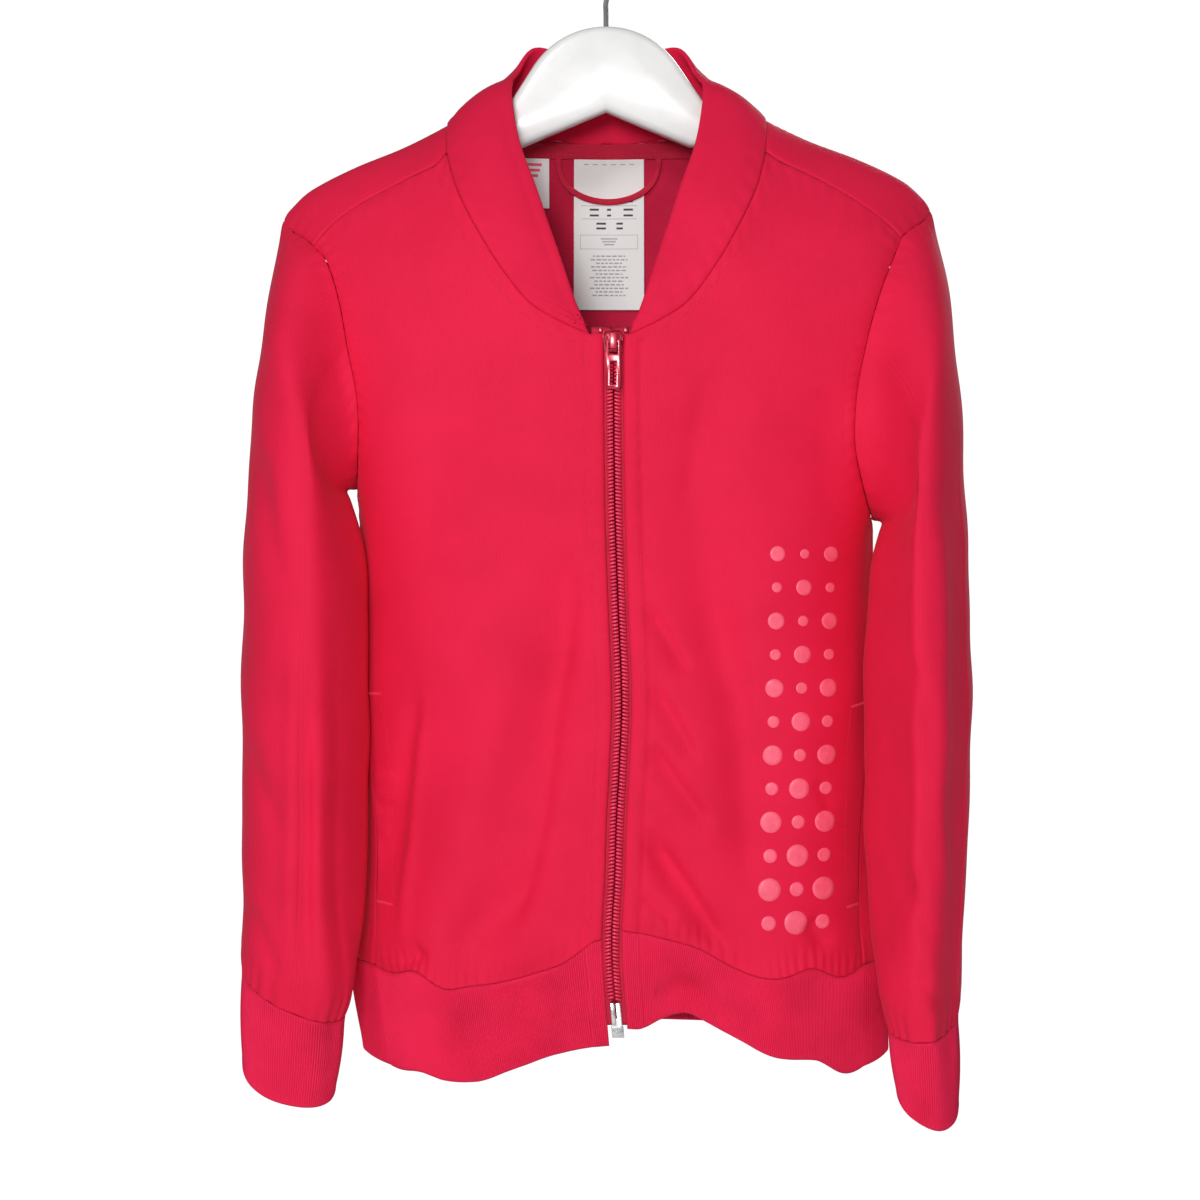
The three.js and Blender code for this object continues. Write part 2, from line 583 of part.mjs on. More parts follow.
// a grid of places filled in between its four edges
function fillPatch(top, foot, left, right) {
  const rows = left.length;
  const cols = top.length;
  const grid = left.map((_, j) => top.map((__, i) => {
    const u = i / (cols - 1);
    const v = j / (rows - 1);
    return [0, 1].map((k) => (1 - v) * top[i][k] + v * foot[i][k]
      + (1 - u) * left[j][k] + u * right[j][k]
      - (1 - u) * ((1 - v) * top[0][k] + v * foot[0][k])
      - u * ((1 - v) * top[cols - 1][k] + v * foot[cols - 1][k]));
  }));
  for (let round = 0; round < relaxRounds; round += 1) {
    for (let j = 1; j < rows - 1; j += 1) {
      for (let i = 1; i < cols - 1; i += 1) grid[j][i] = settled(grid, j, i);
    }
  }
  return grid;
}
const toPoints = (places) => places.map((row) => row.map(([s, way]) => bodyPoint(s, way)));
const toNormals = (places) => places.map((row) => row.map(([s, way]) => bodyNormal(s, way)));

// ---- sleeves ----
const armRing = (name) => [
  ...seams[name].arm.slice(0, -1),
  ...seams[name].armBack.slice(0, -1),
];

// turn round a sleeve of each place of its ring, from the outer line forwards
function ringTurn(i) {
  if (i <= armFrontCells) return frontTurn + ((Math.PI - frontTurn) * i) / armFrontCells;
  const rest = 1 - (i - armFrontCells) / armBackCells;
  return Math.PI + (Math.PI + frontTurn) * (1 - rest ** armBackEase);
}

function ringPoint(row, turn, hand) {
  const c = Math.cos(turn);
  const s = Math.sin(turn);
  const out = Math.sign(c) * Math.abs(c) ** (2 / sleevePower);
  const fore = Math.sign(s) * Math.abs(s) ** (2 / sleevePower);
  const slant = hand * sleeveSlant * ((row.back - row.front) / 2) * -fore;
  return vec(
    (row.outX + row.inX) / 2 + ((row.outX - row.inX) / 2) * out + slant,
    (row.front + row.back) / 2 + ((row.front - row.back) / 2) * fore,
    (row.outZ + row.inZ) / 2 + ((row.outZ - row.inZ) / 2) * out - row.drop * fore,
  );
}

function sleeveRow(name, at) {
  const table = sleeveTable[name].map((row, k) => ({ ...row, at: k }));
  const row = {};
  ['outX', 'outZ', 'inX', 'inZ', 'front', 'back', 'drop'].forEach((key) => {
    row[key] = smoothAt(table, 'at', key, at);
  });
  return row;
}

function sleeveRing(name, at) {
  const hand = hands[name];
  const ring = armRing(name);
  const row = sleeveRow(name, at);
  const open = at >= capRows ? 1 : 1 - (1 - at / capRows) ** 2;
  return ring.map(([s, way], i) => {
    const turn = ringTurn(i);
    const p = ringPoint(row, turn, hand);
    sleeveFolds[name].forEach((fold) => {
      const off = (turn - fold.turn) / fold.wide;
      const grow = clamp((at - fold.from) / 2, 0, 1);
      p.y -= fold.lift * grow * Math.exp(-off * off);
    });
    return bodyPoint(s, way).lerp(p, open);
  });
}

// ---- build the cloth ----
const knit = () => paint(knitRed, 0.85);
const rib = () => paint(ribRed, 0.9);
const lastStation = sleeveTable.left.length - 1;
const armSeam = {};
Object.entries(hands).forEach(([name, hand]) => {
  const rings = [];
  for (let k = 0; k <= sleeveRings; k += 1) {
    const f = k / sleeveRings;
    rings.push(sleeveRing(name, lastStation * (0.45 * f + 0.55 * f * f)));
  }
  if (hand > 0) rings.forEach((ring) => ring.reverse());
  const normals = gridNormals(rings, true);
  const places = armRing(name);
  if (hand > 0) places.reverse();
  armSeam[name] = places.map((place, i) => (
    { place, ...seamFold(bodyNormal(...place), normals[0][i]) }));
  normals[0] = armSeam[name].map((spot) => spot.normal);
  drawBack(rings[0], rings[1], armSeam[name].map((spot) => spot.gap), true);
  const cuffTop = rings[sleeveRings].map((p) => p.clone());
  const cuff = [];
  for (let j = 0; j <= cuffRows; j += 1) {
    cuff.push(cuffTop.map((p, i) => {
      const k = hand > 0 ? cuffTop.length - 1 - i : i;
      return p.clone().lerp(ringPoint(cuffTable[name], ringTurn(k), hand), j / cuffRows);
    }));
  }
  const cuffNormals = gridNormals(cuff, true);
  const cuffSeam = normals[sleeveRings].map((n, i) => seamFold(n, cuffNormals[0][i]));
  normals[sleeveRings] = cuffSeam.map((spot) => spot.normal);
  cuffNormals[0] = normals[sleeveRings];
  drawBack(rings[sleeveRings], rings[sleeveRings - 1], cuffSeam.map((spot) => spot.gap), true);
  drawBack(cuff[0], cuff[1], cuffSeam.map((spot) => spot.gap), true);
  addPiece(`sleeve_${name}`, wall(rings, normals, clothWall, true), knit());
  addPiece(`cuff_${name}`, wall(cuff, cuffNormals, ribWall, true), rib());
});

// collar: its foot on the neckline and its rows up to the folded edge
const neckFull = [
  ...seams.right.neck.slice(1), ...neckBack.slice(1, -1).reverse(),
  ...seams.left.neck.slice(1).reverse(),
];
const collarEdge = (() => {
  const wholeTable = collarTable.map((row, k) => ({ ...row, at: k }));
  const frontStations = neckTable.length - 1;
  const backStations = collarTable.length - 1 - frontStations;
  const lastNeck = neckFull.length - 1;
  const mean = (i) => {
    const k = Math.min(i, lastNeck - i);
    const run = neckCells - 1;
    if (k <= run) return (frontStations * k) / run;
    return frontStations + (backStations * (k - run)) / (lastNeck / 2 - run);
  };
  return neckFull.map((_, i) => {
    const at = mean(i);
    const hand = i < lastNeck / 2 ? 1 : -1;
    const row = {};
    ['half', 'y', 'z', 'bow'].forEach((key) => {
      row[key] = smoothAt(wholeTable, 'at', key, at);
    });
    const x = hand * row.half + neckShift * (1 - row.half / neckRidgeHalf) * (row.y < 0 ? 1 : 0);
    return { point: vec(x, row.y, row.z), bow: row.bow };
  });
})();
const collarNormal = neckFull.map((place, i) => {
  const foot = bodyPoint(...place);
  const next = bodyPoint(...neckFull[Math.min(i + 1, neckFull.length - 1)]);
  const last = bodyPoint(...neckFull[Math.max(i - 1, 0)]);
  return collarEdge[i].point.clone().sub(foot).cross(last.sub(next)).normalize();
});
const collar = [];
for (let j = 0; j <= collarRows; j += 1) {
  const f = 1 - j / collarRows;
  collar.push(neckFull.map((place, i) => bodyPoint(...place).lerp(collarEdge[i].point, f)
    .addScaledVector(collarNormal[i], 4 * f * (1 - f) * collarEdge[i].bow)));
}
const collarNormals = gridNormals(collar);
const neckSeam = neckFull.map((place, i) => (
  seamFold(bodyNormal(...place), collarNormals[collarRows][i])));
collarNormals[collarRows] = neckSeam.map((spot) => spot.normal);
drawBack(collar[collarRows], collar[collarRows - 1], neckSeam.map((spot) => spot.gap));
addPiece('collar', wall(collar, collarNormals, collarWall), rib());

// fronts: down from the neck and shoulder, out from the zip to the side
Object.entries(hands).forEach(([name, hand]) => {
  const seam = seams[name];
  const top = [...seam.neck, ...seam.shoulder.slice(1)];
  const side = [...seam.arm, ...seam.side.slice(1)];
  const places = fillPatch(top, seam.hem, seam.zip, side);
  const points = toPoints(places);
  const normals = toNormals(places);
  const lastColumn = top.length - 1;
  const neckAt = (i) => (hand > 0 ? i - 1 : neckFull.length - i);
  const topGap = even(top, seamHalf);
  const sideGap = even(side, seamHalf);
  for (let i = 1; i <= neckCells; i += 1) {
    normals[0][i] = neckSeam[neckAt(i)].normal;
    topGap[i] = neckSeam[neckAt(i)].gap;
  }
  armSeam[name].forEach(({ place, normal, gap }) => {
    const k = Math.abs(place[0]) === 1 ? armFrontCells : seam.arm.indexOf(place);
    if (k < 0) return;
    normals[k][lastColumn] = normal;
    sideGap[k] = gap;
  });
  column(points, lastColumn).forEach((p, j) => {
    if (j > armFrontCells && p.z < mouth.top && p.z > mouth.foot) sideGap[j] = mouth.gap;
  });
  drawBack(points[0], points[1], topGap);
  const foot = points.length - 1;
  drawBack(points[foot], points[foot - 1], even(top, seamHalf));
  drawBack(column(points, lastColumn), column(points, lastColumn - 1), sideGap);
  if (hand < 0) [points, normals].forEach((grid) => grid.forEach((row) => row.reverse()));
  addPiece(`front_${name}`, wall(points, normals, clothWall), knit());
});

// back: one piece from the left side to the right, up and over the shoulders
{
  const { left, right } = seams;
  const top = [...left.shoulder.slice(1).reverse(), ...neckBack,
    ...right.shoulder.slice(1)];
  const backSide = (seam) => [...seam.armBack.slice().reverse(),
    ...seam.side.slice(1).map(([s, way]) => [s, -way])];
  const places = fillPatch(top, hemBack, backSide(left), backSide(right));
  const points = toPoints(places);
  const normals = toNormals(places);
  const lastColumn = top.length - 1;
  const topGap = even(top, seamHalf);
  neckBack.forEach((_, i) => {
    const spot = neckSeam[neckFull.length - neckCells - i];
    normals[0][shoulderCells + i] = spot.normal;
    topGap[shoulderCells + i] = spot.gap;
  });
  [['left', 0], ['right', lastColumn]].forEach(([name, end]) => {
    const seam = seams[name];
    const gaps = even(points, seamHalf);
    armSeam[name].forEach(({ place, normal, gap }) => {
      const k = place === seam.arm[0] ? armBackCells : seam.armBack.indexOf(place);
      if (k < 0) return;
      normals[armBackCells - k][end] = normal;
      gaps[armBackCells - k] = gap;
    });
    drawBack(column(points, end), column(points, end === 0 ? 1 : lastColumn - 1), gaps);
  });
  drawBack(points[0], points[1], topGap);
  const foot = points.length - 1;
  drawBack(points[foot], points[foot - 1], even(top, seamHalf));
  addPiece('back_panel', wall(mirror(points), mirror(normals), clothWall), knit());
}

// hem band, from the zip round the back to the zip
{
  const ring = (front, back) => [...front(seams.left), ...back.slice(1, -1),
    ...front(seams.right).slice().reverse()];
  const top = ring((seam) => seam.hem, hemBack);
  const foot = ring((seam) => seam.foot, footBack);
  const places = [];
  for (let j = 0; j <= hemRows; j += 1) {
    const f = j / hemRows;
    places.push(top.map((place, i) => place.map((value, k) => value + (foot[i][k] - value) * f)));
  }
  const points = toPoints(places);
  const normals = toNormals(places);
  drawBack(points[0], points[1], even(top, seamHalf));
  addPiece('hem_band', wall(mirror(points), mirror(normals), ribWall), rib());
}

// ---- trim that lies along the body ----
// a block between two places across, two lifts outwards and two heights
function block(x, toX, lift, toLift, foot, top, cells, side = 1) {
  const shape = new THREE.BoxGeometry(toX - x, toLift - lift, top - foot, cells[0], 1, cells[1]);
  return shape.translate((x + toX) / 2, (-side * (lift + toLift)) / 2, (foot + top) / 2);
}

// lay a straight block on the cloth: its depth becomes the lift from the surface
function lay(geometry, side = 1, middle = () => 0) {
  const spots = geometry.getAttribute('position');
  for (let k = 0; k < spots.count; k += 1) {
    const z = spots.getZ(k);
    const p = onBody(spots.getX(k) + middle(z), z, side, -side * spots.getY(k));
    spots.setXYZ(k, p.x, p.y, p.z);
  }
  geometry.computeVertexNormals();
  return geometry;
}

const steel = () => paint(0xb9bcc0, 0.35, 0.9);
const pink = () => paint(tapeRed, 0.8);
const cream = () => paint(white, 0.7);
const lacquer = () => paint(tapeRed, 0.3, 0.4);

Object.entries(hands).forEach(([name, hand]) => {
  const strip = (near, far, lift, toLift, foot, top, steps) => lay(block(
    Math.min(hand * near, hand * far), Math.max(hand * near, hand * far),
    lift, toLift, foot, top, [1, steps]), 1, zipX);
  addPiece(`zip_tape_${name}`, strip(tapeNear, tapeFar[name], tapeLift - tapeWall, tapeLift,
    tapeFoot, tapeTop, zipSteps), pink());
  addPiece(`zip_coil_${name}`, strip(coilNear, coilFar, tapeLift + layGap, coilFace,
    coilFoot, coilTop, coilSteps), pink());
  addPiece(`zip_stop_${name}`, strip(stop.near, stop.far, stop.back, stop.face,
    stop.foot, stop.top, 1), lacquer());
});

// retainer: a pin on the left tape, a box with its own pin on the right one
const pinBack = tapeLift + layGap;
addPiece('zip_pin', lay(block(-pinFar, -pinNear, pinBack, coilFace, pinFoot, pinTop, [1, 2]),
  1, zipX), steel());
const boxShape = new THREE.Shape([
  [-boxHalf, boxFoot], [boxHalf, boxFoot], [boxHalf, boxTop], [pinFar, boxTop],
  [pinFar, pinTop], [pinNear, pinTop], [pinNear, boxTop], [-boxHalf, boxTop],
].map(([x, z]) => new THREE.Vector2(x, z)));
const boxSolid = new THREE.ExtrudeGeometry(boxShape, { depth: coilFace - pinBack, bevelEnabled: false });
boxSolid.translate(0, 0, pinBack).rotateX(Math.PI / 2);
addPiece('zip_box', lay(boxSolid, 1, zipX), steel());

// slider and pull, in a frame that lies on the cloth
const zipHead = new THREE.Group();
const headPoint = onBody(zipX(sliderZ), sliderZ, 1, 0);
const headNormal = bodyNormal(...bodyPlace(zipX(sliderZ), sliderZ));
zipHead.position.copy(headPoint);
zipHead.rotation.x = -Math.asin(headNormal.z);
jacket.add(zipHead);

function solidOf(geometry) {
  const bare = geometry.clone();
  bare.deleteAttribute('normal');
  bare.deleteAttribute('uv');
  const merged = mergeVertices(bare);
  return new wasm.Manifold(new wasm.Mesh({
    numProp: 3,
    vertProperties: merged.getAttribute('position').array,
    triVerts: Uint32Array.from(merged.getIndex().array),
  }));
}
function geometryOf(solid) {
  const mesh = solid.getMesh();
  const geometry = new THREE.BufferGeometry();
  geometry.setAttribute('position', new THREE.BufferAttribute(mesh.vertProperties, 3));
  geometry.setIndex(new THREE.BufferAttribute(mesh.triVerts, 1));
  geometry.computeVertexNormals();
  return geometry;
}

const mirrored = (half) => [...half, ...half.slice().reverse().map(([x, y]) => [-x, y])];
const outline = (pairs) => new THREE.Shape(pairs.map(([x, y]) => new THREE.Vector2(x, y)));
const sliderShape = outline(mirrored(sliderSection.map((row) => [row.x, -row.lift])));
const sliderBody = new THREE.ExtrudeGeometry(sliderShape, { depth: sliderLong, bevelEnabled: false });
sliderBody.translate(0, 0, -sliderLong / 2);
const crownShape = outline(mirrored(crownArch.map((row) => [row.z, row.out])));
const crown = new THREE.ExtrudeGeometry(crownShape, { depth: crownWide, bevelEnabled: false });
crown.translate(0, 0, -crownWide / 2);
crown.applyMatrix4(new THREE.Matrix4().makeBasis(vec(0, 0, 1), vec(0, -1, 0), vec(1, 0, 0)));
crown.translate(0, -sliderFace, 0);
const slider = new THREE.Mesh(geometryOf(solidOf(sliderBody).add(solidOf(crown))), lacquer());
slider.name = 'zip_slider';
zipHead.add(slider);

const ring = (half, top, foot) => [[half, foot], [half, top], [-half, top], [-half, foot]];
const pullShape = outline([
  [pullHalf, pullBar], [-pullHalf, pullBar], [-pullHalf, -pullLong + pullCorner],
  [-pullHalf + pullCorner, -pullLong], [pullHalf - pullCorner, -pullLong],
  [pullHalf, -pullLong + pullCorner],
]);
[eye, slot].forEach((hole) => {
  const pairs = ring(hole.half, hole.top, hole.foot);
  pullShape.holes.push(new THREE.Path(pairs.map(([x, y]) => new THREE.Vector2(x, y))));
});
const pullPlate = new THREE.ExtrudeGeometry(pullShape, { depth: pullThick, bevelEnabled: false });
pullPlate.translate(0, 0, -pullThick / 2);
pullPlate.applyMatrix4(new THREE.Matrix4().makeBasis(vec(1, 0, 0), vec(0, 0, 1), vec(0, -1, 0)));
const pull = new THREE.Mesh(pullPlate, lacquer());
pull.name = 'zip_pull';
pull.position.set(0, -sliderFace - pullAxis, 0);
zipHead.add(pull);

// ---- labels and tape inside the back of the neck ----
const inside = (x, toX, foot, top, cells) => lay(block(x, toX, -trimInset - trimWall, -trimInset,
  foot, top, cells, -1), -1);
addPiece('neck_tape', inside(-neckStrip.half, neckStrip.half, neckStrip.foot, neckStrip.top,
  [16, 1]), pink());
addPiece('main_label', inside(mainLabel.x, mainLabel.toX, mainLabel.foot, mainLabel.top,
  [4, 10]), cream());
addPiece('size_label', inside(sizeLabel.x, sizeLabel.toX, sizeLabel.foot, sizeLabel.top,
  [2, 3]), cream());

// a closed tube through rings of points
function loft(rings) {
  const sides = rings[0].length;
  const spots = rings.flat().flatMap((p) => [p.x, p.y, p.z]);
  const faces = [];
  for (let k = 0; k < rings.length - 1; k += 1) {
    for (let i = 0; i < sides; i += 1) {
      const a = k * sides + i;
      const b = k * sides + ((i + 1) % sides);
      faces.push(a, b, b + sides, a, b + sides, a + sides);
    }
  }
  const end = (rings.length - 1) * sides;
  for (let i = 1; i < sides - 1; i += 1) {
    faces.push(0, i + 1, i, end, end + i, end + i + 1);
  }
  const geometry = new THREE.BufferGeometry();
  geometry.setAttribute('position', new THREE.Float32BufferAttribute(spots, 3));
  geometry.setIndex(faces);
  geometry.computeVertexNormals();
  return geometry;
}

// hanging loop: a strip that dips in front of the label
const loopRings = [];
for (let k = 0; k <= loopSteps; k += 1) {
  const turn = (Math.PI * k) / loopSteps;
  const x = loop.mid - loop.half * Math.cos(turn);
  const z = loop.top - loop.sag * Math.sin(turn) ** 0.8;
  const aside = new THREE.Vector2(Math.cos(turn) * loop.sag, Math.sin(turn) * loop.half)
    .normalize().multiplyScalar(loop.wide / 2);
  const over = clamp((mainLabel.toX - mainLabel.x) / 2 + 4 - Math.abs(x - loop.mid), 0, 3) / 3;
  const inset = trimInset + loopRise * over + loop.thick / 2;
  const corner = (wide, thick) => onBody(x + wide * aside.x, Math.min(loop.top, z + wide * aside.y),
    -1, -inset + (thick * loop.thick) / 2);
  loopRings.push([corner(-1, -1), corner(-1, 1), corner(1, 1), corner(1, -1)]);
}
addPiece('hang_loop', loft(loopRings), pink());

// ---- pocket bags, behind the fronts ----
Object.entries(hands).forEach(([name, hand]) => {
  const cells = pocket.cells;
  const points = [];
  const normals = [];
  for (let j = 0; j <= cells; j += 1) {
    const z = pocket.top + ((pocket.foot - pocket.top) * j) / cells;
    const row = [];
    for (let i = 0; i <= cells; i += 1) {
      const s = hand * (pocket.near + ((pocket.far - pocket.near) * i) / cells);
      const drop = ridgeZ(shoulderHalf * section(Math.abs(s)).g * hand) - z;
      row.push([s, Math.sqrt((drop + ridgeRound) ** 2 - ridgeRound ** 2)]);
    }
    points.push(row.map((place) => bodyPoint(...place)
      .addScaledVector(bodyNormal(...place), -pocket.inset[name])));
    normals.push(row.map((place) => bodyNormal(...place)));
  }
  if (hand < 0) [points, normals].forEach((grid) => grid.forEach((row) => row.reverse()));
  addPiece(`pocket_${name}`, wall(points, normals, pocket.wall), knit());
});

// ---- hanger: a domed plate with sloping arms, under the shoulder lines ----
const armTop = [];
const armFoot = [];
for (let k = 0; k <= arm.steps; k += 1) {
  const f = k / arm.steps;
  const x = arm.from + (arm.end - arm.from) * f;
  const off = (x - armSeat.x) / armSeat.wide;
  const seat = (arm.drop - armSeat.drop) * Math.exp(-off * off);
  const drop = arm.drop + (arm.endDrop - arm.drop) * f - seat;
  const high = arm.high + (arm.endHigh - arm.high) * f;
  armTop.push({ x, drop, high });
  armFoot.unshift({ x, drop, high });
}
const plate = new THREE.Shape();
const domeTurn = Math.asin(dome.half / dome.radius);
const under = (row, hand) => [hand * row.x, ridgeZ(hand * row.x) - row.drop - row.high];
const over = (row, hand) => [hand * row.x, ridgeZ(hand * row.x) - row.drop];
plate.moveTo(0, archTop);
plate.lineTo(-archHalf, archTop - archHalf * 0.42);
armTop.forEach((row) => plate.lineTo(...under(row, -1)));
armFoot.forEach((row) => plate.lineTo(...over(row, -1)));
plate.absarc(0, dome.z, dome.radius, Math.PI / 2 + domeTurn, Math.PI / 2 - domeTurn, true);
armTop.forEach((row) => plate.lineTo(...over(row, 1)));
armFoot.forEach((row) => plate.lineTo(...under(row, 1)));
plate.lineTo(archHalf, archTop - archHalf * 0.42);
const hanger = new THREE.ExtrudeGeometry(plate, {
  depth: plateThick - 2 * plateRound,
  curveSegments: 12,
  bevelThickness: plateRound,
  bevelSize: plateRound,
  bevelOffset: -plateRound,
  bevelSegments: 2,
});
hanger.translate(0, 0, plateRound - plateThick / 2).rotateX(Math.PI / 2);
addPiece('hanger', hanger, paint(white, 0.3));

const hookRadius = hookInner + hookWire;
const hookLine = new THREE.CatmullRomCurve3([
  ...hookTurns.map((turn) => vec(hookRadius * Math.cos(THREE.MathUtils.degToRad(turn)), 0,
    hookRadius * Math.sin(THREE.MathUtils.degToRad(turn)) - hookInner)),
  ...stemLine.map((row) => vec(row.x, 0, row.z)),
]);
const wire = new THREE.Shape();
wire.absarc(0, 0, hookWire, 0, Math.PI * 2);
addPiece('hook', new THREE.ExtrudeGeometry(wire, {
  steps: hookSteps, curveSegments: hookSides, extrudePath: hookLine, bevelEnabled: false,
}), steel());

export default jacket;
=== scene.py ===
import math
import bpy
import numpy as np
from mathutils import Matrix, Vector
from mathutils.bvhtree import BVHTree


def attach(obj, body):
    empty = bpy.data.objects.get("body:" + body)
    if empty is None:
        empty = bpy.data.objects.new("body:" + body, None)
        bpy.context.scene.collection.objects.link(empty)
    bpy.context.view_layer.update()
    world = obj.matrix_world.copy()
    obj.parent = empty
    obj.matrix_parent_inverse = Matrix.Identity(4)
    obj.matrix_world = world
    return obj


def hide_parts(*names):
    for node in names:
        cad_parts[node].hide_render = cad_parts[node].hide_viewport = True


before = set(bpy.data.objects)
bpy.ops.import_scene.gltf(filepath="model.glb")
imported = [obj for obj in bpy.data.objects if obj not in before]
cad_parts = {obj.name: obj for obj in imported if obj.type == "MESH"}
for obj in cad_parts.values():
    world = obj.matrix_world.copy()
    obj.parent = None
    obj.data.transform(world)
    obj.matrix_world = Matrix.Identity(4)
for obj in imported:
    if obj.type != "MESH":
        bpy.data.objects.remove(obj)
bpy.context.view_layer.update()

mm = 0.001  # shapes are worked out in millimetres and stored in metres

# camera, as the photograph was taken: level with the middle of the jacket
photoView = {"place": (-0.0035, -2.0, -0.392), "lens": 103.448, "sensor": 36.0}
photoCamera = bpy.data.cameras.new("photo_camera")
photoCamera.lens = photoView["lens"]
photoCamera.sensor_width = photoView["sensor"]
cameraObject = bpy.data.objects.new("photo_camera", photoCamera)
cameraObject.location = photoView["place"]
cameraObject.rotation_euler = (math.radians(90), 0, 0)
bpy.context.scene.collection.objects.link(cameraObject)
bpy.context.scene.camera = cameraObject
bpy.context.scene.view_settings.view_transform = "Standard"  # colours as the photograph has them
print("camera placed")


# ---------- materials ----------
def newMaterial(name, colour, roughness, metal=0.0):
    material = bpy.data.materials.new(name)
    material.use_nodes = True
    shader = material.node_tree.nodes["Principled BSDF"]
    shader.inputs["Base Color"].default_value = (*colour, 1)
    shader.inputs["Roughness"].default_value = roughness
    shader.inputs["Metallic"].default_value = metal
    material.diffuse_color = (*colour, 1)
    return material, material.node_tree, shader


def addNode(tree, kind, settings=None, **inputs):
    node = tree.nodes.new(kind)
    for key, value in (settings or {}).items():
        setattr(node, key, value)
    for key, value in inputs.items():
        node.inputs[key.replace("_", " ")].default_value = value
    return node


def noiseOn(tree, source, scale, detail=2.0, rough=0.5, stretch=None):
    noise = addNode(tree, "ShaderNodeTexNoise", Scale=scale, Detail=detail, Roughness=rough)
    if stretch:
        mapping = addNode(tree, "ShaderNodeMapping", Scale=stretch)
        tree.links.new(source, mapping.inputs["Vector"])
        source = mapping.outputs["Vector"]
    tree.links.new(source, noise.inputs["Vector"])
    return noise.outputs["Fac"]


def blendColour(tree, factor, first, second, low=0.35, high=0.65):
    ramp = addNode(tree, "ShaderNodeValToRGB")
    ramp.color_ramp.elements[0].position = low
    ramp.color_ramp.elements[0].color = (*first, 1)
    ramp.color_ramp.elements[1].position = high
    ramp.color_ramp.elements[1].color = (*second, 1)
    tree.links.new(factor, ramp.inputs["Fac"])
    return ramp.outputs["Color"]


def mathOf(tree, operation, a, b=0.5):
    node = addNode(tree, "ShaderNodeMath", {"operation": operation})
    for socket, value in zip(node.inputs, (a, b)):
        if isinstance(value, (int, float)):
            socket.default_value = value
        else:
            tree.links.new(value, socket)
    return node.outputs[0]


def addBump(tree, shader, height, strength, distance):
    bump = addNode(tree, "ShaderNodeBump", Strength=strength, Distance=distance)
    tree.links.new(height, bump.inputs["Height"])
    tree.links.new(bump.outputs["Normal"], shader.inputs["Normal"])


def clothMaterial(name, look):
    # knitted or woven cloth: fine lines along and across the piece's own UV map, in metres
    material, tree, shader = newMaterial(name, look["colour"], look["roughness"])
    shader.inputs["Sheen Weight"].default_value = look["sheen"]
    shader.inputs["Sheen Roughness"].default_value = look["sheenRough"]
    shader.inputs["Sheen Tint"].default_value = (*look["sheenTint"], 1)
    shader.inputs["Specular IOR Level"].default_value = look["shine"]
    uv = addNode(tree, "ShaderNodeUVMap", {"uv_map": "cut"}).outputs["UV"]
    place = addNode(tree, "ShaderNodeTexCoord").outputs["Object"]
    along = addNode(tree, "ShaderNodeTexWave", {"bands_direction": "X"},
                    Scale=0.31416 / look["wale"], Distortion=look.get("stray", 0.6), Detail=1.0,
                    Detail_Scale=2.0)
    across = addNode(tree, "ShaderNodeTexWave", {"bands_direction": "Y"},
                     Scale=0.31416 / look["course"], Distortion=0.8, Detail=1.0, Detail_Scale=2.0)
    tree.links.new(uv, along.inputs["Vector"])
    tree.links.new(uv, across.inputs["Vector"])
    loops = mathOf(tree, "ADD", mathOf(tree, "MULTIPLY", along.outputs["Fac"], look["waleShare"]),
                   mathOf(tree, "MULTIPLY", across.outputs["Fac"], 1 - look["waleShare"]))
    nap = noiseOn(tree, place, look["napScale"], 3, 0.6)
    height = mathOf(tree, "ADD", loops, mathOf(tree, "MULTIPLY", nap, look["nap"]))
    addBump(tree, shader, height, look["bump"], look["bumpDeep"])
    # colour: random broad tone, plus painted shade that darkens the cloth where the bump height is low, in
    # the knit's grooves and nap
    broad = noiseOn(tree, place, look["patch"], 3, 0.55)
    shade = mathOf(tree, "ADD", mathOf(tree, "MULTIPLY", broad, 0.7),
                   mathOf(tree, "MULTIPLY", height, look.get("grooveShade", 0.22)))
    colour = blendColour(tree, shade, look["dark"], look["colour"], 0.3, 0.68)
    tree.links.new(colour, shader.inputs["Base Color"])
    rough = mathOf(tree, "ADD", mathOf(tree, "MULTIPLY", nap, 0.16), look["roughness"] - 0.08)
    tree.links.new(rough, shader.inputs["Roughness"])
    return material


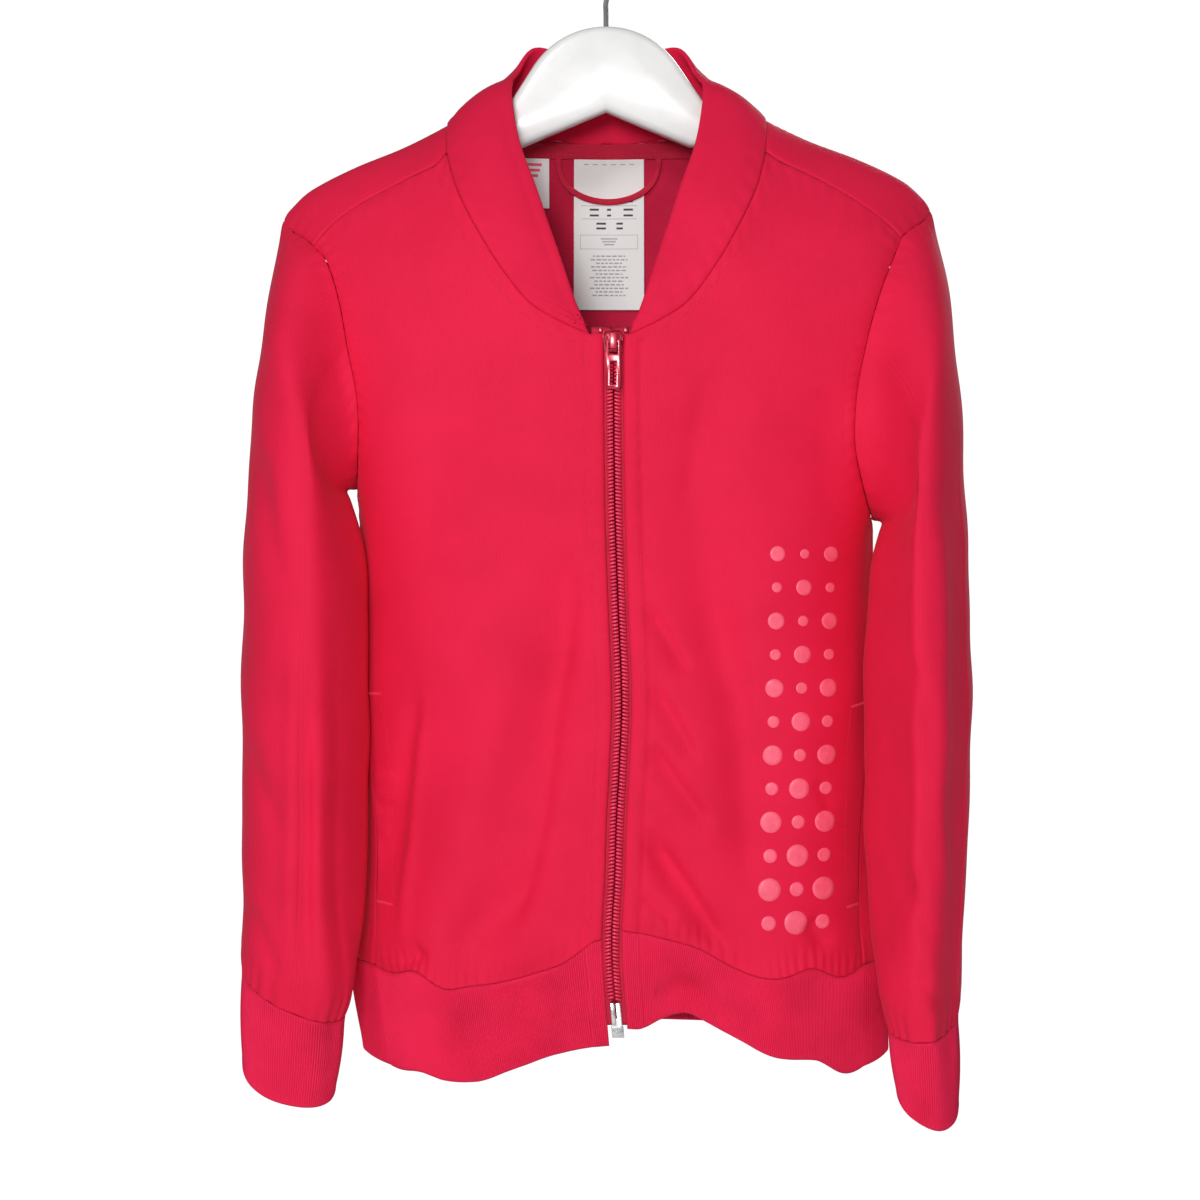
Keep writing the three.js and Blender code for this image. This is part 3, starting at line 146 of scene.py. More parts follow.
clothLooks = {
    "knitFace": {"colour": (0.80, 0.012, 0.062), "dark": (0.70, 0.009, 0.049), "roughness": 0.74,
                 "sheen": 0.08, "sheenRough": 0.45, "sheenTint": (1.0, 0.25, 0.38), "shine": 0.16,
                 "wale": 0.0009, "course": 0.0007, "waleShare": 0.7, "nap": 0.9, "napScale": 1700,
                 "bump": 0.22, "bumpDeep": 0.0003, "patch": 22},
    "knitBack": {"colour": (0.66, 0.016, 0.066), "dark": (0.50, 0.01, 0.045), "roughness": 0.85,
                 "sheen": 0.08, "sheenRough": 0.5, "sheenTint": (1.0, 0.5, 0.6), "shine": 0.15,
                 "wale": 0.0012, "course": 0.0013, "waleShare": 0.25, "nap": 0.8, "napScale": 1400,
                 "bump": 0.4, "bumpDeep": 0.0005, "patch": 30},
    "ribKnit": {"colour": (0.84, 0.018, 0.085), "dark": (0.50, 0.006, 0.035), "roughness": 0.76,
                "sheen": 0.08, "sheenRough": 0.45, "sheenTint": (1.0, 0.25, 0.38), "shine": 0.15,
                "wale": 0.0014, "course": 0.0009, "waleShare": 0.85, "nap": 0.3, "napScale": 1800,
                "stray": 0.0, "grooveShade": 0.42, "bump": 0.3, "bumpDeep": 0.0004, "patch": 26},
    "collarKnit": {"colour": (0.80, 0.012, 0.064), "dark": (0.68, 0.009, 0.05), "roughness": 0.76,
                   "sheen": 0.08, "sheenRough": 0.45, "sheenTint": (1.0, 0.25, 0.38), "shine": 0.15,
                   "wale": 0.0011, "course": 0.0008, "waleShare": 0.75, "nap": 0.8, "napScale": 1700,
                   "bump": 0.26, "bumpDeep": 0.0003, "patch": 26},
    "tapeWeave": {"colour": (0.68, 0.012, 0.055), "dark": (0.50, 0.008, 0.04), "roughness": 0.7,
                  "sheen": 0.06, "sheenRough": 0.4, "sheenTint": (1.0, 0.5, 0.6), "shine": 0.3,
                  "wale": 0.0007, "course": 0.0009, "waleShare": 0.45, "nap": 0.3, "napScale": 2200,
                  "bump": 0.5, "bumpDeep": 0.0003, "patch": 60},
    "labelSatin": {"colour": (0.95, 0.95, 0.94), "dark": (0.93, 0.93, 0.92), "roughness": 0.5,
                   "sheen": 0.1, "sheenRough": 0.3, "sheenTint": (1.0, 1.0, 1.0), "shine": 0.3,
                   "wale": 0.0005, "course": 0.0006, "waleShare": 0.5, "nap": 0.2, "napScale": 2500,
                   "bump": 0.25, "bumpDeep": 0.0002, "patch": 40},
}
cloth = {name: clothMaterial(name, look) for name, look in clothLooks.items()}


def hardMaterial(name, look):
    # moulded, lacquered or plated: faint unevenness in gloss, colour and surface
    material, tree, shader = newMaterial(name, look["colour"], look["roughness"], look["metal"])
    shader.inputs["Coat Weight"].default_value = look["coat"]
    shader.inputs["Coat Roughness"].default_value = 0.12
    place = addNode(tree, "ShaderNodeTexCoord").outputs["Object"]
    grain = noiseOn(tree, place, look["grain"], 3, 0.55, look["stretch"])
    wear = noiseOn(tree, place, look["grain"] * 0.12, 2, 0.5)
    colour = blendColour(tree, wear, look["dark"], look["colour"], 0.3, 0.6)
    tree.links.new(colour, shader.inputs["Base Color"])
    rough = mathOf(tree, "ADD", mathOf(tree, "MULTIPLY", grain, look["uneven"]),
                   look["roughness"] - look["uneven"] / 2)
    tree.links.new(rough, shader.inputs["Roughness"])
    addBump(tree, shader, grain, look["bump"], 0.0002)
    return material


hardLooks = {
    "crimsonLacquer": {"colour": (0.50, 0.008, 0.045), "dark": (0.40, 0.006, 0.034),
                       "roughness": 0.28, "metal": 0.25, "coat": 0.6, "grain": 900,
                       "stretch": (1, 1, 1), "uneven": 0.12, "bump": 0.08},
    "coilNylon": {"colour": (0.80, 0.018, 0.080), "dark": (0.66, 0.012, 0.06),
                  "roughness": 0.4, "metal": 0.0, "coat": 0.15, "grain": 1200,
                  "stretch": (1, 1, 3), "uneven": 0.14, "bump": 0.1},
    "nickelPlate": {"colour": (0.72, 0.72, 0.74), "dark": (0.58, 0.58, 0.6),
                    "roughness": 0.26, "metal": 1.0, "coat": 0.0, "grain": 1400,
                    "stretch": (4, 1, 1), "uneven": 0.2, "bump": 0.12},
    "hangerPlastic": {"colour": (0.88, 0.88, 0.87), "dark": (0.83, 0.83, 0.82),
                      "roughness": 0.34, "metal": 0.0, "coat": 0.1, "grain": 500,
                      "stretch": (1, 1, 1), "uneven": 0.14, "bump": 0.05},
    "hookWire": {"colour": (0.66, 0.67, 0.69), "dark": (0.5, 0.51, 0.53),
                 "roughness": 0.24, "metal": 1.0, "coat": 0.0, "grain": 800,
                 "stretch": (1, 1, 6), "uneven": 0.2, "bump": 0.1},
    # sewing thread of the cloth's own colour, set darker: painted shade along the rows of stitches
    "threadPaintedShade": {"colour": (0.62, 0.010, 0.050), "dark": (0.44, 0.006, 0.034),
                     "roughness": 0.55, "metal": 0.0, "coat": 0.05, "grain": 2600,
                     "stretch": (1, 1, 1), "uneven": 0.2, "bump": 0.3},
    "brightThread": {"colour": (0.84, 0.03, 0.11), "dark": (0.7, 0.015, 0.07),
                     "roughness": 0.5, "metal": 0.0, "coat": 0.05, "grain": 2600,
                     "stretch": (1, 1, 1), "uneven": 0.2, "bump": 0.3},
    "coralPrint": {"colour": (1.0, 0.13, 0.22), "dark": (0.93, 0.1, 0.18),
                   "roughness": 0.5, "metal": 0.0, "coat": 0.1, "grain": 1500,
                   "stretch": (1, 1, 1), "uneven": 0.15, "bump": 0.25},
    "labelInk": {"colour": (0.05, 0.05, 0.055), "dark": (0.03, 0.03, 0.034),
                 "roughness": 0.6, "metal": 0.0, "coat": 0.0, "grain": 2000,
                 "stretch": (1, 1, 1), "uneven": 0.1, "bump": 0.1},
    "greyInk": {"colour": (0.42, 0.42, 0.43), "dark": (0.34, 0.34, 0.35),
                "roughness": 0.6, "metal": 0.0, "coat": 0.0, "grain": 2000,
                "stretch": (1, 1, 1), "uneven": 0.1, "bump": 0.1},
}
hard = {name: hardMaterial(name, look) for name, look in hardLooks.items()}
print("materials made")


# ---------- studio ----------
studio = {"floor": -1.1, "wide": 7.0, "near": -3.2, "far": 1.95, "pale": (0.86, 0.86, 0.86),
          "air": 0.22, "white": 1.05, "blendFrom": 0.87, "blendTo": 0.955}


def deselect():
    if bpy.context.mode != "OBJECT":
        bpy.ops.object.mode_set(mode="OBJECT")
    bpy.ops.object.select_all(action="DESELECT")


def makeStudio():
    deselect()
    bpy.ops.mesh.primitive_plane_add(size=1)
    floor = bpy.context.object
    floor.name = "studio_floor"
    long = studio["far"] - studio["near"]
    floor.scale = (studio["wide"], long, 1)
    floor.location = (0, studio["near"] + long / 2, studio["floor"])
    bpy.ops.object.transform_apply(location=True, rotation=True, scale=True)
    paper, tree, shader = newMaterial("studioPaper", studio["pale"], 0.9)
    place = addNode(tree, "ShaderNodeTexCoord").outputs["Object"]
    addBump(tree, shader, noiseOn(tree, place, 60, 3), 0.02, 0.001)
    floor.data.materials.append(paper)


lamps = {
    "key": {"place": (-0.9, -2.2, 0.95), "aim": (0, 0, -0.35), "size": 0.45, "power": 15},
    "front": {"place": (-0.22, -2.5, 0.0), "aim": (0, 0, -0.3), "size": 0.45, "power": 31},
    "behind": {"place": (1.1, 2.2, 0.9), "aim": (0, 0, -0.35), "size": 0.9, "power": 24},
}


def makeLamps():
    for name, lamp in lamps.items():
        light = bpy.data.lights.new(f"lamp_{name}", "AREA")
        light.shape = "SQUARE"
        light.size = lamp["size"]
        light.energy = lamp["power"]
        holder = bpy.data.objects.new(f"lamp_{name}", light)
        holder.location = lamp["place"]
        aim = Vector(lamp["aim"]) - Vector(lamp["place"])
        holder.rotation_euler = aim.to_track_quat("-Z", "Y").to_euler()
        bpy.context.scene.collection.objects.link(holder)
    world = bpy.data.worlds.new("studio_air")
    world.use_nodes = True
    # white paper far behind the jacket, dimmer air all round
    tree = world.node_tree
    back = tree.nodes["Background"]
    back.inputs["Color"].default_value = (1, 1, 1, 1)
    split = addNode(tree, "ShaderNodeSeparateXYZ")
    tree.links.new(addNode(tree, "ShaderNodeTexCoord").outputs["Generated"], split.inputs["Vector"])
    light = addNode(tree, "ShaderNodeMapRange", From_Min=studio["blendFrom"], From_Max=studio["blendTo"],
                    To_Min=studio["air"], To_Max=studio["white"])
    tree.links.new(split.outputs["Y"], light.inputs["Value"])
    tree.links.new(light.outputs["Result"], back.inputs["Strength"])
    bpy.context.scene.world = world


makeStudio()
makeLamps()
print("studio made")


# ---------- tables and smooth lines ----------
def table(names, rows):
    return dict(zip(names.split(), np.array(rows, float).T))


def smoothAt(rows, by, key, at):
    # smooth value of one column of a table, by another column that rises or falls
    t, v, at = rows[by], rows[key], np.asarray(at, float)
    if t[-1] < t[0]:
        t, at = -t, -at
    at = np.clip(at, t[0], t[-1])
    last = len(t) - 1
    k = np.clip(np.searchsorted(t, at, side="left") - 1, 0, last - 1)
    below = np.maximum(np.arange(last + 1) - 1, 0)
    above = np.minimum(np.arange(last + 1) + 1, last)
    bend = (v[above] - v[below]) / (t[above] - t[below])
    gap = t[k + 1] - t[k]
    f = (at - t[k]) / gap
    return ((2 * f ** 3 - 3 * f ** 2 + 1) * v[k] + (f ** 3 - 2 * f ** 2 + f) * gap * bend[k]
            + (3 * f ** 2 - 2 * f ** 3) * v[k + 1] + (f ** 3 - f ** 2) * gap * bend[k + 1])


def easeStep(value, low, high):
    f = np.clip((value - low) / (high - low), 0, 1)
    return f * f * (3 - 2 * f)


body = {
    "half": 190, "round": 20, "reach": 70, "power": 3, "wide": 150, "deep": 66, "slant": 0.016,
    "ridge": table("x z", [(0, -70), (60, -99), (90, -115.5), (116, -128.5), (145, -140),
                           (170, -152.5), (180, -161), (190, -173)]),
    "rows": table("z half mid front back lean lead", [
        (-60, 190, 0.5, 66, 62, 0, 0), (-174, 190, 0.5, 66, 62, 0, 0),
        (-221, 178, 2, 66, 62, 0, 0), (-279, 162, 4, 66, 62, 0, 0),
        (-327, 149, 5.5, 66, 62, 0, 0), (-450, 150, 6, 67, 62, 0, 0.07),
        (-520, 148, 7, 68, 61, 2, 0.13), (-570, 151, 6.5, 70, 58, 5, 0.165),
        (-602, 156, 7.5, 72, 56, 8, 0.2), (-670, 150, 13, 70, 54, 8, 0.19)]),
    "zipFlat": (13, 32), "sideFall": {"from": 300, "to": 400, "deep": 0.14, "wide": 0.14},
}
zipLine = table("z x", [(-230, 3.8), (-336, 4.7), (-392, 6.5), (-448, 8.6), (-483, 7.4),
                        (-515, 5.7), (-548, 4.7), (-580, 3.1), (-605, 3.8), (-645, 7.5)])


def spread(pairs, cells):
    # places spread evenly along a smooth line through the given ones
    pairs = np.array(pairs, float)
    steps = np.hypot(np.diff(pairs[:, 0]) * body["wide"], np.diff(pairs[:, 1]))
    line = {"at": np.concatenate([[0], np.cumsum(steps)]), "a": pairs[:, 0], "b": pairs[:, 1]}
    at = np.linspace(0, line["at"][-1], cells + 1)
    return np.stack([smoothAt(line, "at", "a", at), smoothAt(line, "at", "b", at)], -1)


def quarterOutline(steps=240):
    turn = np.linspace(0, math.pi / 2, steps + 1)
    g = np.sin(turn) ** (2 / body["power"])
    h = np.maximum(np.cos(turn), 0) ** (2 / body["power"])
    step = np.hypot(np.diff(g) * body["wide"], np.diff(h) * body["deep"])
    s = np.concatenate([[0], np.cumsum(step)])
    return {"s": s / s[-1], "g": g, "h": h}


quarter = quarterOutline()


def sectionAt(share):
    # share 0 is the middle of the front, 1 the side, 2 the middle of the back
    s = np.where(share > 1, 2 - share, share)
    g = np.interp(s, quarter["s"], quarter["g"])
    h = np.interp(s, quarter["s"], quarter["h"])
    return g, np.where(share > 1, -h, h)


def shareOf(g):
    return np.interp(np.clip(g, 0, 1), quarter["g"], quarter["s"])


def ridgeZ(x):
    return smoothAt(body["ridge"], "x", "z", np.abs(x)) + body["slant"] * x


def bodyRow(z, key):
    return smoothAt(body["rows"], "z", key, z)


def zipX(z):
    return smoothAt(zipLine, "z", "x", z)


# the jacket's main folds, as on the solids: from one place to another, width and lift
mainFolds = table("x z toX toZ wide lift side", [
    (-22, -385, -70, -590, 18, -5, 1), (-56, -430, -100, -600, 17, 3, 1),
    (56, -300, 60, -420, 18, -2.5, 1), (50, -355, 94, -520, 17, -3, 1),
    (26, -530, 76, -596, 13, -5, 1), (-40, -260, -70, -580, 24, -3, -1),
    (50, -280, 76, -590, 22, -3, -1), (4, -300, 10, -600, 26, 3, -1),
    (46, -618, 56, -650, 20, -13, 1), (-50, -612, -30, -650, 18, -5, 1),
    (-92, -616, -92, -655, 18, 4, 1)])


def mainLift(x, z, side):
    lift = np.zeros_like(x)
    for k in range(len(mainFolds["x"])):
        fold = {key: column[k] for key, column in mainFolds.items()}
        dx, dz = fold["toX"] - fold["x"], fold["toZ"] - fold["z"]
        t = np.clip(((x - fold["x"]) * dx + (z - fold["z"]) * dz) / (dx * dx + dz * dz), 0, 1)
        off = np.hypot(x - fold["x"] - t * dx, z - fold["z"] - t * dz) / fold["wide"]
        lift += np.where(side == fold["side"], fold["lift"] * np.exp(-off * off), 0)
    flat = easeStep(np.abs(x - zipX(z)), *body["zipFlat"])
    return np.where(side > 0, lift * flat, lift)


def bodyPoint(places):
    # s runs from -1 (left side) to 1 (right side); way is the travel from the shoulder line,
    # down the front above 0 and down the back below
    s, way = places[..., 0], places[..., 1]
    hand = np.where(s < 0, -1.0, 1.0)
    across = np.abs(s)
    drop = np.hypot(way, body["round"]) - body["round"]
    z = ridgeZ(body["half"] * sectionAt(across)[0] * hand) - drop
    lead = bodyRow(z, "lead")
    g, h = sectionAt(np.where(way >= 0, across * (1 - lead), 2 - across * (1 + lead)))
    half, fall = bodyRow(z, "half"), body["sideFall"]
    low = easeStep(-z, fall["from"], fall["to"])
    h = h * (1 - fall["deep"] * low * g ** 6)
    g = g * (1 - fall["wide"] * low * g ** 3 * np.maximum(h, 0))
    deep = np.where(h >= 0, bodyRow(z, "front"), bodyRow(z, "back"))
    fill = np.tanh(np.abs(way) / body["reach"])
    x = bodyRow(z, "mid") + half * g * hand
    outX, outY = hand * g * g / half, -np.sign(h) * h * h / deep
    push = mainLift(x, z, np.where(h >= 0, 1, -1)) * np.minimum(1, np.abs(h) * 2)
    push = push / np.maximum(np.hypot(outX, outY), 1e-9)
    return np.stack([x + push * outX, bodyRow(z, "lean") - deep * h * fill + push * outY, z], -1)


def unit(vectors):
    return vectors / np.maximum(np.linalg.norm(vectors, axis=-1, keepdims=True), 1e-12)


def bodyNormal(places):
    ds, dw = np.array([0.012, 0]), np.array([0, 1.5])
    a = bodyPoint(places + ds) - bodyPoint(places - ds)
    b = bodyPoint(places + dw) - bodyPoint(places - dw)
    return unit(np.cross(b, a))


def bodyPlace(x, z, side=1):
    # the place under a point given in the front view, on the front (1) or back (-1)
    x, z = np.asarray(x, float), np.asarray(z, float)
    g = (x - bodyRow(z, "mid")) / bodyRow(z, "half")
    share = shareOf(np.abs(g)) / (1 - side * bodyRow(z, "lead"))
    across = np.minimum(1, share) * np.sign(g)
    ridge = ridgeZ(body["half"] * sectionAt(np.abs(across))[0] * np.sign(g))
    drop = np.maximum(0, ridge - z)
    return np.stack([across, side * np.sqrt((drop + body["round"]) ** 2 - body["round"] ** 2)], -1)


def onBody(x, z, side, lift):
    places = bodyPlace(x, z, side)
    return bodyPoint(places) + bodyNormal(places) * np.asarray(lift, float)[..., None]


def sideWay(z, across):
    drop = ridgeZ(body["half"] * across) - z
    return np.sqrt((drop + body["round"]) ** 2 - body["round"] ** 2)


# ---------- seam lines ----------
hands = {"left": -1, "right": 1}
cut = {
    "neckShift": 2, "neckZipZ": -242.5, "neckRidge": 90.5, "tip": 187, "hemRise": 16,
    "zipOpening": 5.5,
    "neck": table("half z", [(11.3, -243), (30, -234), (45, -224), (59.5, -205.5), (72, -185),
                             (85, -158), (91, -136)]),
    "neckBack": table("half z", [(80, -119), (60, -119.5), (30, -120.5), (0, -121)]),
    "shoulder": {
        "left": table("x z", [(-91, -136), (-97, -143.5), (-112, -150.5), (-134, -162),
                              (-152, -173.5), (-167.5, -189.7)]),
        "right": table("x z", [(91, -136), (98, -141), (118, -150), (137, -160.5),
                               (152.5, -170.5), (168.8, -185)])},
    "armhole": {
        "left": table("x z", [(-167.5, -189.7), (-160, -198), (-151.5, -224.5), (-147.5, -247),
                              (-141.5, -281), (-141.6, -304), (-144.7, -327)]),
        "right": table("x z", [(168.8, -185), (161, -204), (156, -217), (148, -245),
                               (141.3, -286), (144, -315.5), (155, -345)])},
    "hem": {
        "left": table("x z", [(0, -582.5), (-8, -584), (-15.5, -590), (-26, -597), (-42, -602.5),
                              (-74, -609), (-93, -611), (-118.5, -602), (0, -601)]),
        "right": table("x z", [(0, -577.5), (19.5, -579), (31.5, -582), (54, -589), (77, -601),
                               (100, -605.5), (124, -600.5), (0, -601)])},
    "foot": {
        "left": table("x z", [(0, -642.5), (-12, -644), (-26, -647.5), (-42, -652.5),
                              (-58, -658), (-76, -663.5), (-96, -663), (-115.5, -659.5),
                              (0, -658)]),
        "right": table("x z", [(0, -633), (19.5, -633), (31, -628), (45, -625.5), (54, -629),
                               (77, -640.5), (100, -650.5), (130, -655), (0, -659)])},
}
cells = {"zipToCollar": 4, "neck": 52, "shoulder": 40, "arm": 88, "side": 88, "armBack": 100,
         "sideBack": 60, "neckBack": 72, "shoulderBack": 40, "hemRib": 560, "hemRibBack": 1112}


def seamLines(name):
    hand = hands[name]

    def edge(z):
        return bodyPlace(zipX(z) + hand * cut["zipOpening"], z)

    def hemLine(rows, count):
        places = bodyPlace(rows["x"][1:-1], rows["z"][1:-1])
        last = [hand, sideWay(rows["z"][-1], hand)]
        return spread([edge(rows["z"][0]), *places, last], count)

    neckX = hand * cut["neck"]["half"] + cut["neckShift"] * (1 - cut["neck"]["half"] / cut["neckRidge"])
    neckPairs = bodyPlace(neckX, cut["neck"]["z"])
    neckRun = spread(neckPairs, cells["neck"])
    shoulder = bodyPlace(cut["shoulder"][name]["x"], cut["shoulder"][name]["z"])
    shoulder[0] = neckPairs[-1]
    arm = bodyPlace(cut["armhole"][name]["x"], cut["armhole"][name]["z"])
    armFoot = cut["armhole"][name]["z"][-1]
    arm[0] = shoulder[-1]
    arm[-1] = [hand, sideWay(armFoot, hand)]
    tip = [shareOf(cut["tip"] / body["half"]) * hand, 0]
    behind = arm[1:][::-1] * [1, -1]
    zipTop, zipEnd = cut["neckZipZ"], cut["hem"][name]["z"][0]
    zipRows = cells["arm"] + cells["side"]
    hemZ, footZ = cut["hem"][name]["z"][-1], cut["foot"][name]["z"][-1]

    def sideLine(count, side):
        z = np.linspace(armFoot, hemZ, count + 1)
        return np.stack([np.full(count + 1, hand), side * sideWay(z, hand)], -1)

    start = edge(zipTop)
    lead = start + (neckRun[0] - start) * np.linspace(0, 1, cells["zipToCollar"] + 1)[:-1, None]
    return {
        "neck": neckRun, "neckTop": np.concatenate([lead, neckRun]),
        "shoulder": spread(shoulder, cells["shoulder"]),
        "shoulderPairs": shoulder, "armPairs": arm, "behindPairs": [*behind, tip, arm[0]],
        "arm": spread(arm, cells["arm"]),
        "armBack": spread([*behind, tip, arm[0]], cells["armBack"]),
        "side": sideLine(cells["side"], 1), "sideBack": sideLine(cells["sideBack"], -1),
        "zip": edge(np.linspace(zipTop, zipEnd, zipRows + 1)),
        "hem": lambda count: hemLine(cut["hem"][name], count),
        "foot": lambda count: hemLine(cut["foot"][name], count),
        "hemZ": hemZ, "footZ": footZ,
    }


seams = {name: seamLines(name) for name in hands}


def neckBehind(count):
    def half(hand):
        name = "left" if hand < 0 else "right"
        ridge = [shareOf(cut["neckRidge"] / body["half"]) * hand, 0]
        rows = bodyPlace(hand * cut["neckBack"]["half"], cut["neckBack"]["z"], -1)
        return [seams[name]["shoulder"][0], ridge, *rows]
    return spread([*half(-1), *half(1)[::-1][1:]], count)


def backLine(leftZ, rightZ, count):
    s = np.linspace(-1, 1, count + 1)
    z = leftZ + (rightZ - leftZ) * (s + 1) / 2 + cut["hemRise"] * np.cos(s * math.pi / 2)
    g = sectionAt(np.abs(s))[0] * np.where(s < 0, -1, 1)
    return np.stack([s, -sideWay(z, g)], -1)


print("seam lines drawn")


# ---------- cloth tools ----------
def relax(grid, rounds):
    # even out a grid of places, with no cell folded over
    for _ in range(rounds):
        across = (grid[1:-1, 2:] - grid[1:-1, :-2]) / 2
        down = (grid[2:, 1:-1] - grid[:-2, 1:-1]) / 2
        a = np.sum(down * down, -1, keepdims=True)
        b = np.sum(across * down, -1, keepdims=True)
        c = np.sum(across * across, -1, keepdims=True)
        corner = grid[2:, 2:] - grid[2:, :-2] - grid[:-2, 2:] + grid[:-2, :-2]
        spot = ((grid[1:-1, 2:] + grid[1:-1, :-2]) * a + (grid[2:, 1:-1] + grid[:-2, 1:-1]) * c
                - corner * b / 2) / np.maximum(2 * (a + c), 1e-9)
        grid[1:-1, 1:-1] += 0.85 * (spot - grid[1:-1, 1:-1])
    return grid


def fillPatch(top, foot, left, right):
    # a grid of places filled in between its four edges, coarse first and then finer
    scale = np.array([body["wide"], 1.0])
    edges = [np.array(line) * scale for line in (top, foot, left, right)]
    grid = None
    for step in (8, 4, 2, 1):
        top, foot, left, right = (line[::step] for line in edges)
        rows, cols = len(left), len(top)
        u, v = np.linspace(0, 1, cols)[None, :, None], np.linspace(0, 1, rows)[:, None, None]
        if grid is None:
            grid = ((1 - v) * top[None] + v * foot[None] + (1 - u) * left[:, None] + u * right[:, None]
                    - (1 - u) * ((1 - v) * top[0] + v * foot[0])
                    - u * ((1 - v) * top[-1] + v * foot[-1]))
        else:
            finer = np.zeros((rows, cols, 2))
            finer[::2, ::2] = grid
            finer[1::2, ::2] = (grid[1:] + grid[:-1]) / 2
            finer[:, 1::2] = (finer[:, 2::2] + finer[:, :-1:2]) / 2
            grid = finer
        grid[0], grid[-1], grid[:, 0], grid[:, -1] = top, foot, left, right
        grid = relax(grid, 90 if step > 1 else 50)
    return grid / scale


edgeCuts = np.array([0.14, 0.36, 0.66])  # finer rows next to each edge, in shares of a cell


def addEdgeRows(grid, axis):
    grid = np.moveaxis(grid, axis, 0)
    first = [grid[0] + (grid[1] - grid[0]) * f for f in edgeCuts]
    last = [grid[-1] + (grid[-2] - grid[-1]) * f for f in edgeCuts[::-1]]
    grid = np.concatenate([grid[:1], first, grid[1:-1], last, grid[-1:]])
    return np.moveaxis(grid, 0, axis)


def gridNormals(points, closed=False):
    if closed:
        a = np.roll(points, -1, 1) - np.roll(points, 1, 1)
    else:
        a = np.concatenate([points[:, 1:], points[:, -1:]], 1)
        a = a - np.concatenate([points[:, :1], points[:, :-1]], 1)
    b = np.concatenate([points[1:], points[-1:]]) - np.concatenate([points[:1], points[:-1]])
    return unit(np.cross(b, a))


def reachFrom(points, axis, back=False):
    # travel over the cloth from one of its edges
    grid = np.moveaxis(points, axis, 0)
    if back:
        grid = grid[::-1]
    steps = np.linalg.norm(np.diff(grid, axis=0), axis=-1)
    reach = np.concatenate([np.zeros((1, grid.shape[1])), np.cumsum(steps, 0)])
    return np.moveaxis(reach[::-1] if back else reach, 0, axis)


def reachAll(points):
    # from the first and last row, then from the first and last column
    return [reachFrom(points, 0), reachFrom(points, 0, True),
            reachFrom(points, 1), reachFrom(points, 1, True)]


def edgeRound(reach, radius):
    # 0 at a cut edge, rising to 1 in a quarter circle
    f = np.clip(1 - reach / radius, 0, 1)
    return np.sqrt(1 - f * f)


def makeMesh(name, spots, faces, materials, uvs=None, slots=None):
    mesh = bpy.data.meshes.new(name)
    spots, faces = np.asarray(spots, float), np.asarray(faces, int)
    mesh.vertices.add(len(spots))
    mesh.vertices.foreach_set("co", (spots * mm).ravel())
    mesh.loops.add(faces.size)
    mesh.loops.foreach_set("vertex_index", faces.ravel())
    mesh.polygons.add(len(faces))
    mesh.polygons.foreach_set("loop_start", np.arange(len(faces)) * faces.shape[1])
    mesh.polygons.foreach_set("loop_total", np.full(len(faces), faces.shape[1]))
    mesh.polygons.foreach_set("use_smooth", np.ones(len(faces), bool))
    for material in materials:
        mesh.materials.append(material)
    if slots is not None:
        mesh.polygons.foreach_set("material_index", slots)
    if uvs is not None:
        layer = mesh.uv_layers.new(name="cut")
        layer.data.foreach_set("uv", np.asarray(uvs, float).ravel())
    mesh.update(calc_edges=True)
    mesh.validate()
    piece = bpy.data.objects.new(name, mesh)
    bpy.context.scene.collection.objects.link(piece)
    return piece


def buildWall(name, points, half, uv, materials, centre, closed=False, ribs=None):
    # a closed wall of cloth: an outer and an inner face that meet along every free edge
    rows, cols = points.shape[:2]
    normals = gridNormals(points, closed)
    away = np.sum(normals * (points - centre), -1)
    flip = away.mean() < 0
    normals = -normals if flip else normals
    ribs = np.zeros((rows, cols)) if ribs is None else ribs
    outer = points + normals * (half + ribs * (half > 0.2))[..., None]
    inner = points - normals * (half + ribs * (half > 0.2))[..., None]
    spots = np.concatenate([outer.reshape(-1, 3), inner.reshape(-1, 3)])
    index = np.arange(rows * cols).reshape(rows, cols)
    innerIndex = index + rows * cols
    border = np.zeros((rows, cols), bool)
    border[[0, -1]] = True
    if not closed:
        border[:, [0, -1]] = True
    innerIndex[border] = index[border]
    if closed:
        index = np.concatenate([index, index[:, :1]], 1)
        innerIndex = np.concatenate([innerIndex, innerIndex[:, :1]], 1)

    def quads(grid, turn):
        corners = [grid[:-1, :-1], grid[1:, :-1], grid[1:, 1:], grid[:-1, 1:]]
        corners = corners[::-1] if turn else corners
        return np.stack(corners, -1).reshape(-1, 4)

    faces = np.concatenate([quads(index, flip), quads(innerIndex, not flip)])
    uvs = np.concatenate([quads(uv[..., k], flip)[..., None] for k in (0, 1)], -1)
    uvsIn = np.concatenate([quads(uv[..., k], not flip)[..., None] for k in (0, 1)], -1)
    count = len(faces) // 2
    slots = np.concatenate([np.zeros(count, int), np.ones(count, int)])
    used, faces = np.unique(faces, return_inverse=True)
    return makeMesh(name, spots[used], faces.reshape(-1, 4), materials,
                    np.concatenate([uvs, uvsIn]), slots)


def smoothPath(line, steps=14):
    # a smooth line through a few points
    line = np.array(line, float)
    at = np.concatenate([[0], np.cumsum(np.hypot(*np.diff(line, axis=0).T))])
    if len(line) == 2:
        return line[:1] + (line[1:] - line[:1]) * np.linspace(0, 1, 3)[:, None]
    rows = {"at": at, "x": line[:, 0], "z": line[:, 1]}
    t = np.linspace(0, at[-1], steps + 1)
    return np.stack([smoothAt(rows, "at", "x", t), smoothAt(rows, "at", "z", t)], -1)


